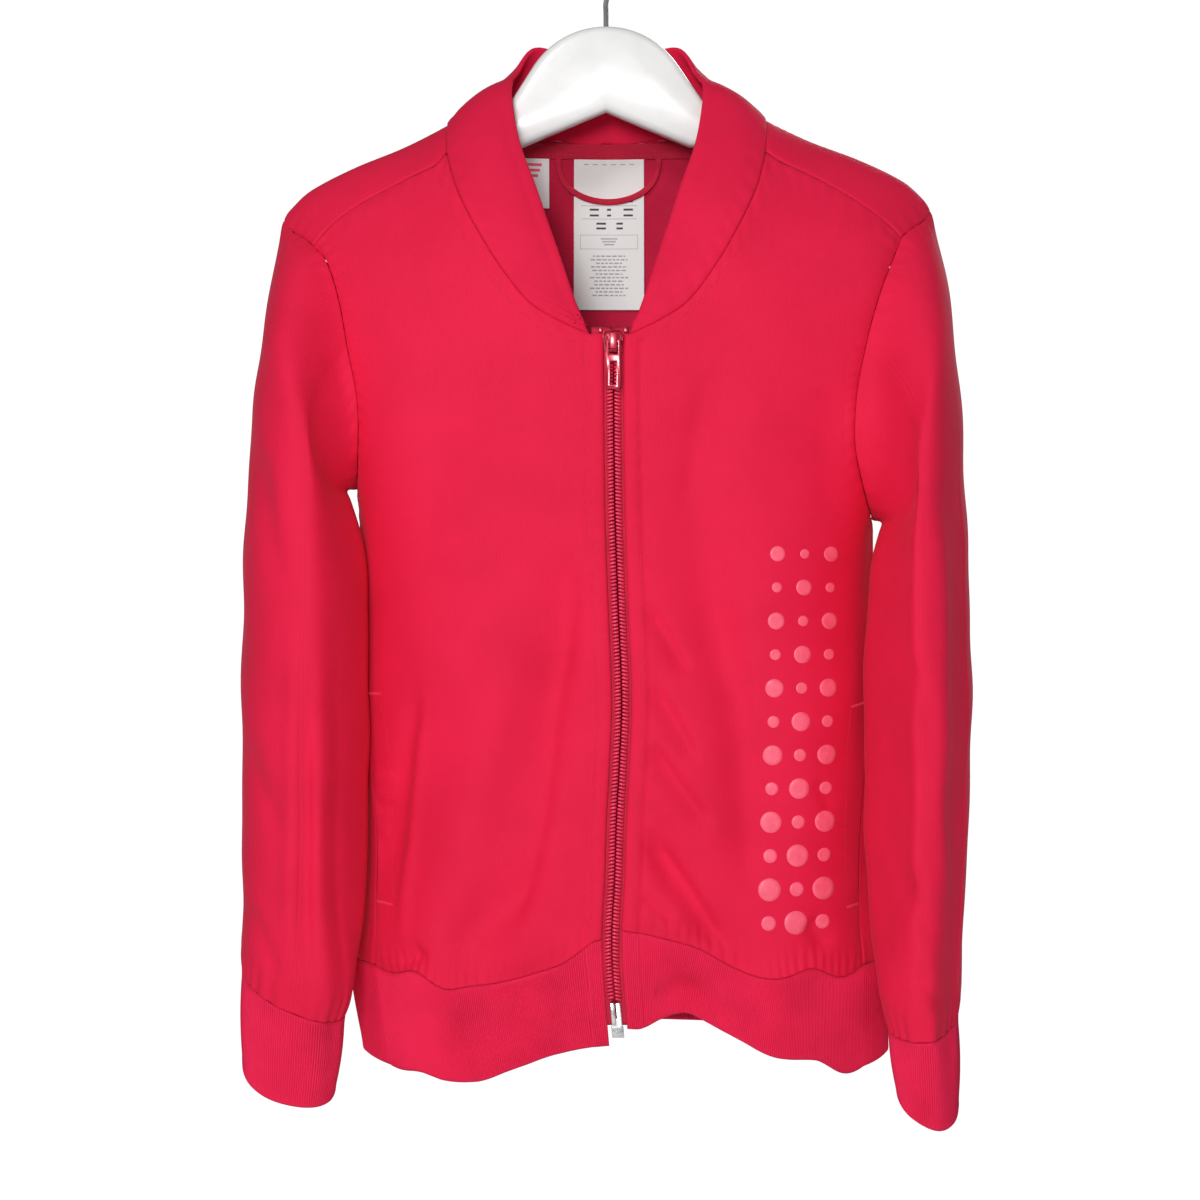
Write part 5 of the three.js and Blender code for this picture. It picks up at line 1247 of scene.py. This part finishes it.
def copyShape(name, shape, frames, material, smooth=True):
    # one modelled shape repeated along frames: x along, y across, z outwards
    spots, faces = shape
    placed, polygons = [], []
    for k, (place, along, out) in enumerate(frames):
        across = np.cross(out, along)
        placed.append(place + spots @ np.stack([along, across, out]))
        polygons.extend(tuple(v + k * len(spots) for v in face) for face in faces)
    mesh = bpy.data.meshes.new(name)
    mesh.from_pydata((np.concatenate(placed) * mm).tolist(), [], polygons)
    mesh.polygons.foreach_set("use_smooth", np.full(len(polygons), smooth))
    mesh.materials.append(material)
    mesh.update()
    piece = bpy.data.objects.new(name, mesh)
    bpy.context.scene.collection.objects.link(piece)
    return piece


def modelStitch(long, thick):
    # a short round bar of thread that dips into the cloth at both ends
    deselect()
    bpy.ops.mesh.primitive_uv_sphere_add(segments=6, ring_count=5, radius=1)
    stitch = bpy.context.object
    bpy.ops.object.mode_set(mode="EDIT")
    bpy.ops.mesh.select_all(action="SELECT")
    bpy.ops.transform.rotate(value=math.pi / 2, orient_axis="Y", center_override=(0, 0, 0))
    bpy.ops.transform.resize(value=(long / 2, thick / 2, thick / 2))
    bpy.ops.object.mode_set(mode="OBJECT")
    for vertex in stitch.data.vertices:
        vertex.co.z -= 0.3 * thick * (vertex.co.x / (long / 2)) ** 2
    return shapeOf(stitch)


# ---------- pocket bags, behind the fronts ----------
pockets = {"near": 0.45, "far": 0.97, "top": -452, "foot": -582, "half": 0.5, "cells": 60,
           "inset": {"left": 2.5, "right": 2.28}}


def makePocket(name):
    look, hand = pockets, hands[name]
    s = hand * np.linspace(look["near"], look["far"], look["cells"] + 1)
    z = np.linspace(look["top"], look["foot"], look["cells"] + 1)
    sGrid, zGrid = np.meshgrid(s, z)
    across = sectionAt(np.abs(sGrid))[0] * hand
    places = np.stack([sGrid, sideWay(zGrid, across)], -1)
    points, normals = bodyPoint(places), bodyNormal(places)
    x, z = points[..., 0], points[..., 2]
    push = foldPush(x, z, fronts["folds"][name]) + slowWaves(x, z, fronts["waves"])
    points = points + normals * (push - look["inset"][name])[..., None]
    reach = np.minimum.reduce(reachAll(points))
    half = look["half"] * edgeRound(reach, 1.2)
    uv = np.stack([places[..., 0] * 0.19, places[..., 1] * mm], -1)
    centre = np.stack([bodyRow(z, "mid"), bodyRow(z, "lean"), z], -1)
    piece = buildWall(f"pocket_{name}_bag", points, half, uv, [cloth["knitBack"], cloth["knitBack"]], centre)
    return finishPiece(piece, "knit_cloth", f"pocket_{name}")


pocketPieces = {name: makePocket(name) for name in hands}
print("pocket bags sewn")


# ---------- zip ----------
zipLook = {
    "tape": {"near": 0.95, "far": {"left": 12.4, "right": 8.8}, "top": -238.5, "foot": -631,
             "lift": -1.8, "half": 0.5},
    "tooth": {"pitch": 2.05, "top": -254.4, "foot": -617.4, "long": 3.9, "high": 1.5, "deep": 1.9,
              "middle": 2.15, "lift": 0.35, "lean": 13},
    "slider": {"place": (3.926, -65.506, -247.0), "tilt": -0.0142},
}


def zipPoint(off, z, lift):
    return onBody(zipX(z) + off, z, 1, lift)


def makeTape(name):
    look, hand = zipLook["tape"], hands[name]
    off = hand * np.linspace(look["near"], look["far"][name], 13)
    z = np.linspace(look["top"], look["foot"], 240)
    offGrid, zGrid = np.meshgrid(off, z)
    middle = np.stack([offGrid, zGrid], -1)
    cord = 0.35 * np.exp(-((np.abs(offGrid) - 4.9) / 0.7) ** 2)
    points = zipPoint(offGrid, zGrid, look["lift"] + cord)
    reach = np.minimum.reduce(reachAll(points))
    half = look["half"] * edgeRound(reach, 0.6)
    centre = points + np.array([0, 20.0, 0])
    piece = buildWall(f"zip_tape_{name}_weave", points, half, middle * mm,
                      [cloth["tapeWeave"], cloth["tapeWeave"]], centre)
    return finishPiece(piece, "zip_cloth", f"zip_tape_{name}")


def modelTooth():
    # one turn of the coil as seen from in front: a short round-ended brick
    look = zipLook["tooth"]
    deselect()
    bpy.ops.mesh.primitive_cube_add(size=1)
    tooth = bpy.context.object
    tooth.scale = (look["long"], look["high"], look["deep"])
    bpy.ops.object.transform_apply(scale=True)
    bevel = tooth.modifiers.new("round", "BEVEL")
    bevel.width = 0.42
    bevel.segments = 1
    bpy.ops.object.modifier_apply(modifier="round")
    for vertex in tooth.data.vertices:
        if vertex.co.x > 0:
            vertex.co.z -= 0.35
    return shapeOf(tooth)


def makeTeeth(name, shape):
    look, hand = zipLook["tooth"], hands[name]
    count = int((look["top"] - look["foot"]) / look["pitch"])
    frames = []
    for k in range(count):
        z = look["top"] - (k + (0.5 if hand > 0 else 0)) * look["pitch"]
        place = zipPoint(hand * look["middle"], z, look["lift"])
        out = bodyNormal(bodyPlace(zipX(z), z))
        lean = math.radians(look["lean"])
        along = unit(np.array([hand * math.cos(lean), 0, -math.sin(lean)]))
        along = unit(along - out * np.dot(along, out))
        frames.append((place, along, out))
    piece = copyShape(f"zip_coil_{name}_turns", shape, frames, hard["coilNylon"])
    return finishPiece(piece, "zip_cloth", f"zip_coil_{name}")


def cadCopy(node, name, material, width, segments=2, angle=30):
    # a copy of a solid of the model, merged and with its edges softened
    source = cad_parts[node]
    mesh = source.data.copy()
    mesh.name = name
    copy = bpy.data.objects.new(name, mesh)
    bpy.context.scene.collection.objects.link(copy)
    copy.matrix_world = source.matrix_world
    deselect()
    copy.select_set(True)
    bpy.context.view_layer.objects.active = copy
    bpy.ops.object.transform_apply(location=True, rotation=True, scale=True)
    bpy.ops.object.mode_set(mode="EDIT")
    bpy.ops.mesh.select_all(action="SELECT")
    bpy.ops.mesh.remove_doubles(threshold=0.00001)
    bpy.ops.mesh.dissolve_limited(angle_limit=math.radians(0.5))
    bpy.ops.object.mode_set(mode="OBJECT")
    if width:
        bevel = copy.modifiers.new("soft_edges", "BEVEL")
        bevel.width = width * mm
        bevel.segments = segments
        bevel.limit_method = "ANGLE"
        bevel.angle_limit = math.radians(angle)
        bevel.use_clamp_overlap = True
        bpy.ops.object.modifier_apply(modifier="soft_edges")
    bpy.ops.object.shade_smooth_by_angle(angle=math.radians(38))
    mesh.materials.clear()
    mesh.materials.append(material)
    return copy


def modelSlider():
    look = zipLook["slider"]
    plates = [
        {"size": (12.6, 1.7, 12.4), "out": 2.0, "waist": 0.70, "round": 3.4},
        {"size": (10.4, 1.2, 12.0), "out": -3.35, "waist": 0.74, "round": 3.0},
    ]
    parts = []
    for plate in plates:
        deselect()
        bpy.ops.mesh.primitive_cube_add(size=1, location=(0, -plate["out"], 0))
        part = bpy.context.object
        part.scale = plate["size"]
        bpy.ops.object.transform_apply(location=True, scale=True)
        low = -plate["size"][2] / 2 + 0.01
        for vertex in part.data.vertices:
            if vertex.co.z < low:
                vertex.co.x *= plate["waist"]
        for edge in part.data.edges:
            a, b = (part.data.vertices[k].co for k in edge.vertices)
            edge.select = abs(a.x - b.x) < 0.01 and abs(a.z - b.z) < 0.01 and a.z > 0
        for face in part.data.polygons:
            face.select = False
        bpy.ops.object.mode_set(mode="EDIT")
        bpy.ops.mesh.bevel(offset=plate["round"], segments=5)
        bpy.ops.object.mode_set(mode="OBJECT")
        soft = part.modifiers.new("soft", "BEVEL")
        soft.width = 0.42
        soft.segments = 3
        soft.limit_method = "ANGLE"
        soft.angle_limit = math.radians(40)
        bpy.ops.object.modifier_apply(modifier="soft")
        parts.append(part)
    # side walls, the wedge between the plates, and the crown that carries the pull
    blocks = [
        {"size": (0.9, 3.4, 10.0), "place": (4.75, 0.6, -0.6), "edge": 0.3},
        {"size": (0.9, 3.4, 10.0), "place": (-4.75, 0.6, -0.6), "edge": 0.3},
        {"size": (1.3, 5.4, 4.0), "place": (0, 0.6, 3.4), "edge": 0.3},
        {"size": (4.3, 1.3, 9.2), "place": (0, -6.35, 0.1), "edge": 0.6},
        {"size": (4.3, 4.0, 1.5), "place": (0, -4.7, 3.9), "edge": 0.6},
        {"size": (4.3, 4.0, 1.5), "place": (0, -4.7, -3.7), "edge": 0.6},
    ]
    for block in blocks:
        deselect()
        bpy.ops.mesh.primitive_cube_add(size=1, location=block["place"])
        part = bpy.context.object
        part.scale = block["size"]
        bpy.ops.object.transform_apply(location=True, scale=True)
        soft = part.modifiers.new("soft", "BEVEL")
        soft.width = block["edge"]
        soft.segments = 3
        bpy.ops.object.modifier_apply(modifier="soft")
        parts.append(part)
    deselect()
    for part in parts:
        part.select_set(True)
    slider = parts[0]
    bpy.context.view_layer.objects.active = slider
    bpy.ops.object.join()
    slider.name = "zip_slider_cast"
    slider.data.transform(Matrix.Rotation(look["tilt"], 4, "X"))
    slider.data.transform(Matrix.Translation(Vector(look["place"])))
    slider.data.transform(Matrix.Scale(mm, 4))
    bpy.ops.object.shade_smooth_by_angle(angle=math.radians(38))
    slider.data.materials.clear()
    slider.data.materials.append(hard["crimsonLacquer"])
    return slider


tapePieces = {name: makeTape(name) for name in hands}
toothShape = modelTooth()
for name in hands:
    makeTeeth(name, toothShape)
finishPiece(modelSlider(), "zip_paint", "zip_slider")
finishPiece(cadCopy("zip_pull", "zip_pull_tab", hard["crimsonLacquer"], 0.45, 3), "zip_paint",
            "zip_pull", bodyName="pull")
for name in hands:
    stop = cadCopy(f"zip_stop_{name}", f"zip_stop_{name}_clamp", hard["crimsonLacquer"], 0.4, 2)
    finishPiece(stop, "zip_paint", f"zip_stop_{name}")
finishPiece(cadCopy("zip_pin", "zip_pin_bar", hard["nickelPlate"], 0.4, 2), "zip_steel", "zip_pin")
finishPiece(cadCopy("zip_box", "zip_box_cast", hard["nickelPlate"], 0.5, 2), "zip_steel", "zip_box")
print("zip made")


# ---------- tape, labels and loop inside the neck ----------
neckLook = {
    "tape": {"x": -71, "toX": 71, "top": -121.2, "foot": -130.0, "inset": 2.25, "wall": 0.4},
    "label": {"x": -19.3, "toX": 23, "top": -129.6, "foot": -219, "inset": 2.3, "wall": 0.2},
    "size": {"x": -55, "toX": -34, "top": -129.6, "foot": -158.5, "inset": 2.3, "wall": 0.2},
    "loop": {"mid": 1.5, "half": 30, "top": -129.6, "sag": 25, "wide": 3.7, "thick": 1.2, "inset": 1.85,
             "rise": 1.15, "steps": 72},
}


def insidePanel(name, look, material, cellsAcross, cellsDown, curl=0.0, wave=0.0):
    x = np.linspace(look["x"], look["toX"], cellsAcross + 1)
    z = np.linspace(look["top"], look["foot"], cellsDown + 1)
    x, z = addEdgeRows(x, 0), addEdgeRows(z, 0)
    xGrid, zGrid = np.meshgrid(x, z)
    f = (look["top"] - zGrid) / (look["top"] - look["foot"])
    side = (xGrid - x[0]) / (x[-1] - x[0]) * 2 - 1
    lift = -look["inset"] - curl * f ** 2 * (0.6 + 0.4 * side ** 2) - wave * f * np.sin(side * 2.1 + f * 3)
    points = onBody(xGrid, zGrid, -1, lift)
    reach = np.minimum.reduce(reachAll(points))
    half = look["wall"] * edgeRound(reach, 0.35)
    uv = np.stack([xGrid * mm, zGrid * mm], -1)
    centre = points + np.array([0, 20.0, 0])
    return buildWall(name, points, half, uv, [material, material], centre)


tapePiece = finishPiece(insidePanel("neck_tape_weave", neckLook["tape"], cloth["tapeWeave"], 120, 8),
                        "tape_cloth", "neck_tape")
labelPanel = insidePanel("main_label_satin", neckLook["label"], cloth["labelSatin"], 30, 60, 1.2, 0.35)
labelPiece = finishPiece(labelPanel, "label_cloth", "main_label")
sizePanel = insidePanel("size_label_satin", neckLook["size"], cloth["labelSatin"], 14, 20, 1.6, 0.4)
sizePiece = finishPiece(sizePanel, "label_cloth", "size_label")


def makeMarks(name, trees, marks, material, thick=0.06):
    # flat printed bars on a label, each a thin slip that follows it
    spots, faces = [], []
    for mark in marks:
        x = np.linspace(mark[0], mark[1], max(2, int((mark[1] - mark[0]) / 3) + 1))
        z = np.array([mark[2], mark[3]])
        rings = []
        for px in x:
            hits = [layOn(trees, px, pz, 1, lift) for pz in z for lift in (0.01, thick)]
            if None in hits:
                break
            low, lowOut, high, highOut = (hit[0] for hit in hits)
            rings.append([low, lowOut, highOut, high])
        if len(rings) < 2:
            continue
        base = len(spots)
        spots.extend(spot for ring in rings for spot in ring)
        for k in range(len(rings) - 1):
            for i in range(4):
                a, b = base + k * 4 + i, base + k * 4 + (i + 1) % 4
                faces.append((a, b, b + 4, a + 4))
        last = base + (len(rings) - 1) * 4
        faces.append((base, base + 3, base + 2, base + 1))
        faces.append((last, last + 1, last + 2, last + 3))
    mesh = bpy.data.meshes.new(name)
    mesh.from_pydata((np.array(spots) * mm).tolist(), [], faces)
    mesh.materials.append(material)
    mesh.update()
    piece = bpy.data.objects.new(name, mesh)
    bpy.context.scene.collection.objects.link(piece)
    return turnOutwards(piece)


def turnOutwards(piece):
    deselect()
    piece.select_set(True)
    bpy.context.view_layer.objects.active = piece
    bpy.ops.object.mode_set(mode="EDIT")
    bpy.ops.mesh.select_all(action="SELECT")
    bpy.ops.mesh.normals_make_consistent(inside=False)
    bpy.ops.object.mode_set(mode="OBJECT")
    return piece


labelTrees = [treeOf(labelPiece)]
middle = 1.9  # of the label, across
dashes = [(middle - 15 + k * 5.4, middle - 15 + k * 5.4 + 2.9, -133.3, -133.75) for k in range(6)]
rules = [(middle - 16.5, middle + 16.5, z, z - 0.28) for z in (-157.2, -164.9)]
frameBars = [(middle - 17.2, middle + 17.2, -174.4, -174.65),
             (middle - 17.2, middle + 17.2, -182.6, -182.85),
             (middle - 17.2, middle - 16.95, -174.4, -182.85),
             (middle + 16.95, middle + 17.2, -174.4, -182.85)]
tallBars = []
for row, z in enumerate((-154.2, -159.0, -162.4, -167.2, -170.0)):
    for spot, wide in ((-11.5, 5.4), (-1.2, 2.4), (8.6, 5.6)) if row < 3 else ((-7.5, 5.6), (4.4, 3.8)):
        tallBars.append((middle + spot, middle + spot + wide, z, z - 1.15))
fineBars = []
for row in range(12):
    z = -186.6 - row * 2.12
    half = 9.6 + 1.9 * math.sin(row * 2.3)
    x = middle - half
    step = 0
    while x < middle + half:
        wide = 1.3 + 1.5 * abs(math.sin(row * 1.9 + step * 2.7))
        fineBars.append((x, min(x + wide, middle + half), z, z - 0.8))
        x += wide + 0.75
        step += 1
for row in range(3):
    fineBars.append((middle - 5 + row, middle + 5 - row, -176.4 - row * 1.7, -177.1 - row * 1.7))
thinBars = dashes + rules + frameBars
finishPiece(makeMarks("main_label_rules", labelTrees, thinBars, hard["greyInk"]), "label_cloth")
finishPiece(makeMarks("main_label_bars", labelTrees, tallBars, hard["labelInk"]), "label_cloth")
finishPiece(makeMarks("main_label_rows", labelTrees, fineBars, hard["greyInk"]), "label_cloth")
sizeTrees = [treeOf(sizePiece)]
sizeBars = [(-52 + 0.4 * row, -38 - 1.1 * row, -133.6 - row * 3.1, -135.2 - row * 3.1) for row in range(3)]
finishPiece(makeMarks("size_label_bars", sizeTrees, sizeBars, hard["coralPrint"]), "label_cloth")


def makeLoop():
    look = neckLook["loop"]
    turn = np.linspace(0, math.pi, look["steps"] + 1)
    x = look["mid"] - look["half"] * np.cos(turn)
    z = look["top"] - look["sag"] * np.sin(turn) ** 0.8
    aside = unit(np.stack([np.cos(turn) * look["sag"], np.sin(turn) * look["half"]], -1))
    over = np.clip(21.15 + 4 - np.abs(x - look["mid"]), 0, 3) / 3
    inset = look["inset"] + look["rise"] * over + look["thick"] / 2
    around = np.linspace(0, 2 * math.pi, 13)[:-1]
    wide = np.sign(np.cos(around)) * np.abs(np.cos(around)) ** 0.6 * look["wide"] / 2
    thick = np.sign(np.sin(around)) * np.abs(np.sin(around)) ** 0.8 * look["thick"] / 2
    px = x[:, None] + wide[None] * aside[:, :1]
    pz = np.minimum(look["top"] + 0.3, z[:, None] + wide[None] * aside[:, 1:])
    rings = onBody(px, pz, -1, -inset[:, None] + thick[None])
    rows, sides = rings.shape[:2]
    index = np.arange(rows * sides).reshape(rows, sides)
    wrapped = np.concatenate([index, index[:, :1]], 1)
    corners = [wrapped[:-1, :-1], wrapped[1:, :-1], wrapped[1:, 1:], wrapped[:-1, 1:]]
    faces = np.stack(corners, -1).reshape(-1, 4)
    travel = np.linspace(0, 0.085, rows)[:, None] * np.ones((1, sides + 1))
    girth = np.linspace(0, 0.0086, sides + 1)[None] * np.ones((rows, 1))
    uvGrid = np.stack([girth, travel], -1)
    uvs = np.stack([uvGrid[:-1, :-1], uvGrid[1:, :-1], uvGrid[1:, 1:], uvGrid[:-1, 1:]], -2).reshape(-1, 2)
    piece = makeMesh("hang_loop_weave", rings.reshape(-1, 3), faces, [cloth["tapeWeave"]], uvs)
    deselect()
    piece.select_set(True)
    bpy.context.view_layer.objects.active = piece
    bpy.ops.object.mode_set(mode="EDIT")
    bpy.ops.mesh.select_all(action="SELECT")
    bpy.ops.mesh.fill_holes(sides=0)
    bpy.ops.mesh.normals_make_consistent(inside=False)
    bpy.ops.object.mode_set(mode="OBJECT")
    return finishPiece(piece, "tape_cloth", "hang_loop")


loopPiece = makeLoop()
print("neck trims sewn")


# ---------- hanger ----------
moulding = cadCopy("hanger", "hanger_moulding", hard["hangerPlastic"], 0, angle=40)
finishPiece(moulding, "hanger_shell", "hanger")
finishPiece(cadCopy("hook", "hook_wire_bend", hard["hookWire"], 0), "hook_wire", "hook")
print("hanger made")


# ---------- sewing ----------
frontTrees = [treeOf(piece) for piece in frontPieces.values()]
bandTrees = [treeOf(hemPiece)]
sewing = {
    "pitch": 2.9, "long": 2.1, "thick": 0.42, "lift": 0.02,
    "placket": {
        "left": [(-14, -249), (-11, -280), (-9, -336), (-7, -392), (-6, -448), (-6.5, -483), (-7, -515),
                 (-8, -548), (-8.5, -575)],
        "right": [(19, -253), (18, -275), (18.5, -336), (20, -392), (22, -448), (20.5, -483), (18, -515),
                  (16.5, -548), (15, -570)]},
    "placketFoot": {
        "left": [(-8.6, -588), (-8, -607), (-5.5, -636)],
        "right": [(14.6, -583), (15, -607), (17.5, -629)]},
    "neckline": {
        "left": [(-95, -152), (-91, -163), (-79, -191), (-65, -211), (-49, -229), (-33, -243), (-16, -247),
                 (-7, -246)],
        "right": [(95, -149), (87, -174), (74, -195), (60, -215), (45, -231), (26, -244), (16, -247)]},
    "pocket": {
        "left": [(-129, -448), (-125, -470), (-122.5, -500), (-122, -530), (-121.4, -563)],
        "right": [(139.5, -454), (137.5, -475), (136.5, -510), (136.5, -540), (136.9, -565)]},
    "tacks": {
        "left": [[(-141.5, -445.4), (-128.7, -445.6)], [(-134.5, -563.8), (-121.4, -565.5)]],
        "right": [[(139.5, -453), (151, -450.4)], [(136.9, -567.2), (146.5, -565.5)]]},
    "tack": {"pitch": 0.55, "long": 1.9, "thick": 0.5},
    "looseEnd": [(149.5, -564), (150.5, -567), (147.5, -571), (145.8, -574)],
}
stitchShape = modelStitch(sewing["long"], sewing["thick"])
tackShape = modelStitch(sewing["tack"]["long"], sewing["tack"]["thick"])
for name in hands:
    rows = stitchFrames(frontTrees, sewing["placket"][name], sewing["pitch"], sewing["lift"])
    rows += stitchFrames(bandTrees, sewing["placketFoot"][name], sewing["pitch"], sewing["lift"])
    rows += stitchFrames(frontTrees, sewing["neckline"][name], sewing["pitch"], sewing["lift"])
    rows += stitchFrames(frontTrees, sewing["pocket"][name], sewing["pitch"], sewing["lift"])
    piece = copyShape(f"front_{name}_topstitch", stitchShape, rows, hard["threadPaintedShade"])
    finishPiece(piece, "knit_cloth")
    # bar tacks: short stitches side by side across the two ends of the pocket's mouth
    tacks = []
    for line in sewing["tacks"][name]:
        for place, along, out in stitchFrames(frontTrees, line, sewing["tack"]["pitch"], 0.12, smooth=False):
            tacks.append((place, np.cross(out, along), out))
    if name == "right":
        tacks += stitchFrames(frontTrees, sewing["looseEnd"], 1.5, 0.15)
    piece = copyShape(f"pocket_{name}_bar_tacks", tackShape, tacks, hard["brightThread"])
    finishPiece(piece, "knit_cloth")
tapeTrees = [treeOf(tapePiece)]
tapeRows = []
for z in (-122.6, -128.6):
    tapeRows += stitchFrames(tapeTrees, [(-64, z), (0, z), (64, z)], 2.6, sewing["lift"])
finishPiece(copyShape("neck_tape_stitches", stitchShape, tapeRows, hard["threadPaintedShade"]), "tape_cloth")
print("topstitching sewn")


# ---------- print on the right front ----------
printLook = {
    "top": -366, "foot": -574, "x": (112, 107), "columns": 3, "rows": 12, "spacing": 15.6,
    "radius": (6.6, 4.2), "small": 0.62, "thick": 0.16, "rings": 3, "sides": 22, "rim": 0.12, "sunk": -0.05,
}


def makePrint():
    # a column of round dots that grow smaller upwards, as one thin printed film
    look = printLook
    trees = [treeOf(frontPieces["right"])]
    spots, faces = [], []
    for row in range(look["rows"]):
        f = row / (look["rows"] - 1)
        z = look["top"] + (look["foot"] - look["top"]) * f
        radius = look["radius"][1] + (look["radius"][0] - look["radius"][1]) * f
        for column in range(look["columns"]):
            x = look["x"][0] + (look["x"][1] - look["x"][0]) * f + (column - 1) * look["spacing"]
            size = radius * (1.0 if (row + column) % 2 == 0 else look["small"])
            rings = [size * k / look["rings"] for k in range(look["rings"] + 1)]
            base = len(spots)
            good = True
            for k, reach in enumerate(rings):
                count = 1 if k == 0 else look["sides"]
                for i in range(count):
                    turn = 2 * math.pi * i / look["sides"]
                    spot = (x + reach * math.cos(turn), z + reach * math.sin(turn))
                    hit = layOn(trees, *spot, 1, look["thick"])
                    good = good and hit is not None
                    spots.append(hit[0] if hit else np.zeros(3))
            rim = []
            for i in range(look["sides"]):
                turn = 2 * math.pi * i / look["sides"]
                wide = size + look["rim"]
                hit = layOn(trees, x + wide * math.cos(turn), z + wide * math.sin(turn), 1, look["sunk"])
                good = good and hit is not None
                rim.append(hit[0] if hit else np.zeros(3))
            spots.extend(rim)
            if not good:
                del spots[base:]
                continue
            for i in range(look["sides"]):
                j = (i + 1) % look["sides"]
                faces.append((base, base + 1 + i, base + 1 + j))
                for k in range(look["rings"]):
                    a = base + 1 + k * look["sides"]
                    faces.append((a + i, a + look["sides"] + i, a + look["sides"] + j, a + j))
    mesh = bpy.data.meshes.new("chest_print_dots")
    mesh.from_pydata((np.array(spots) * mm).tolist(), [], faces)
    mesh.materials.append(hard["coralPrint"])
    mesh.polygons.foreach_set("use_smooth", np.ones(len(faces), bool))
    mesh.update()
    piece = bpy.data.objects.new("chest_print_dots", mesh)
    bpy.context.scene.collection.objects.link(piece)
    return finishPiece(turnOutwards(piece), "knit_cloth")


makePrint()
print("print laid on")
# ---------- done ----------
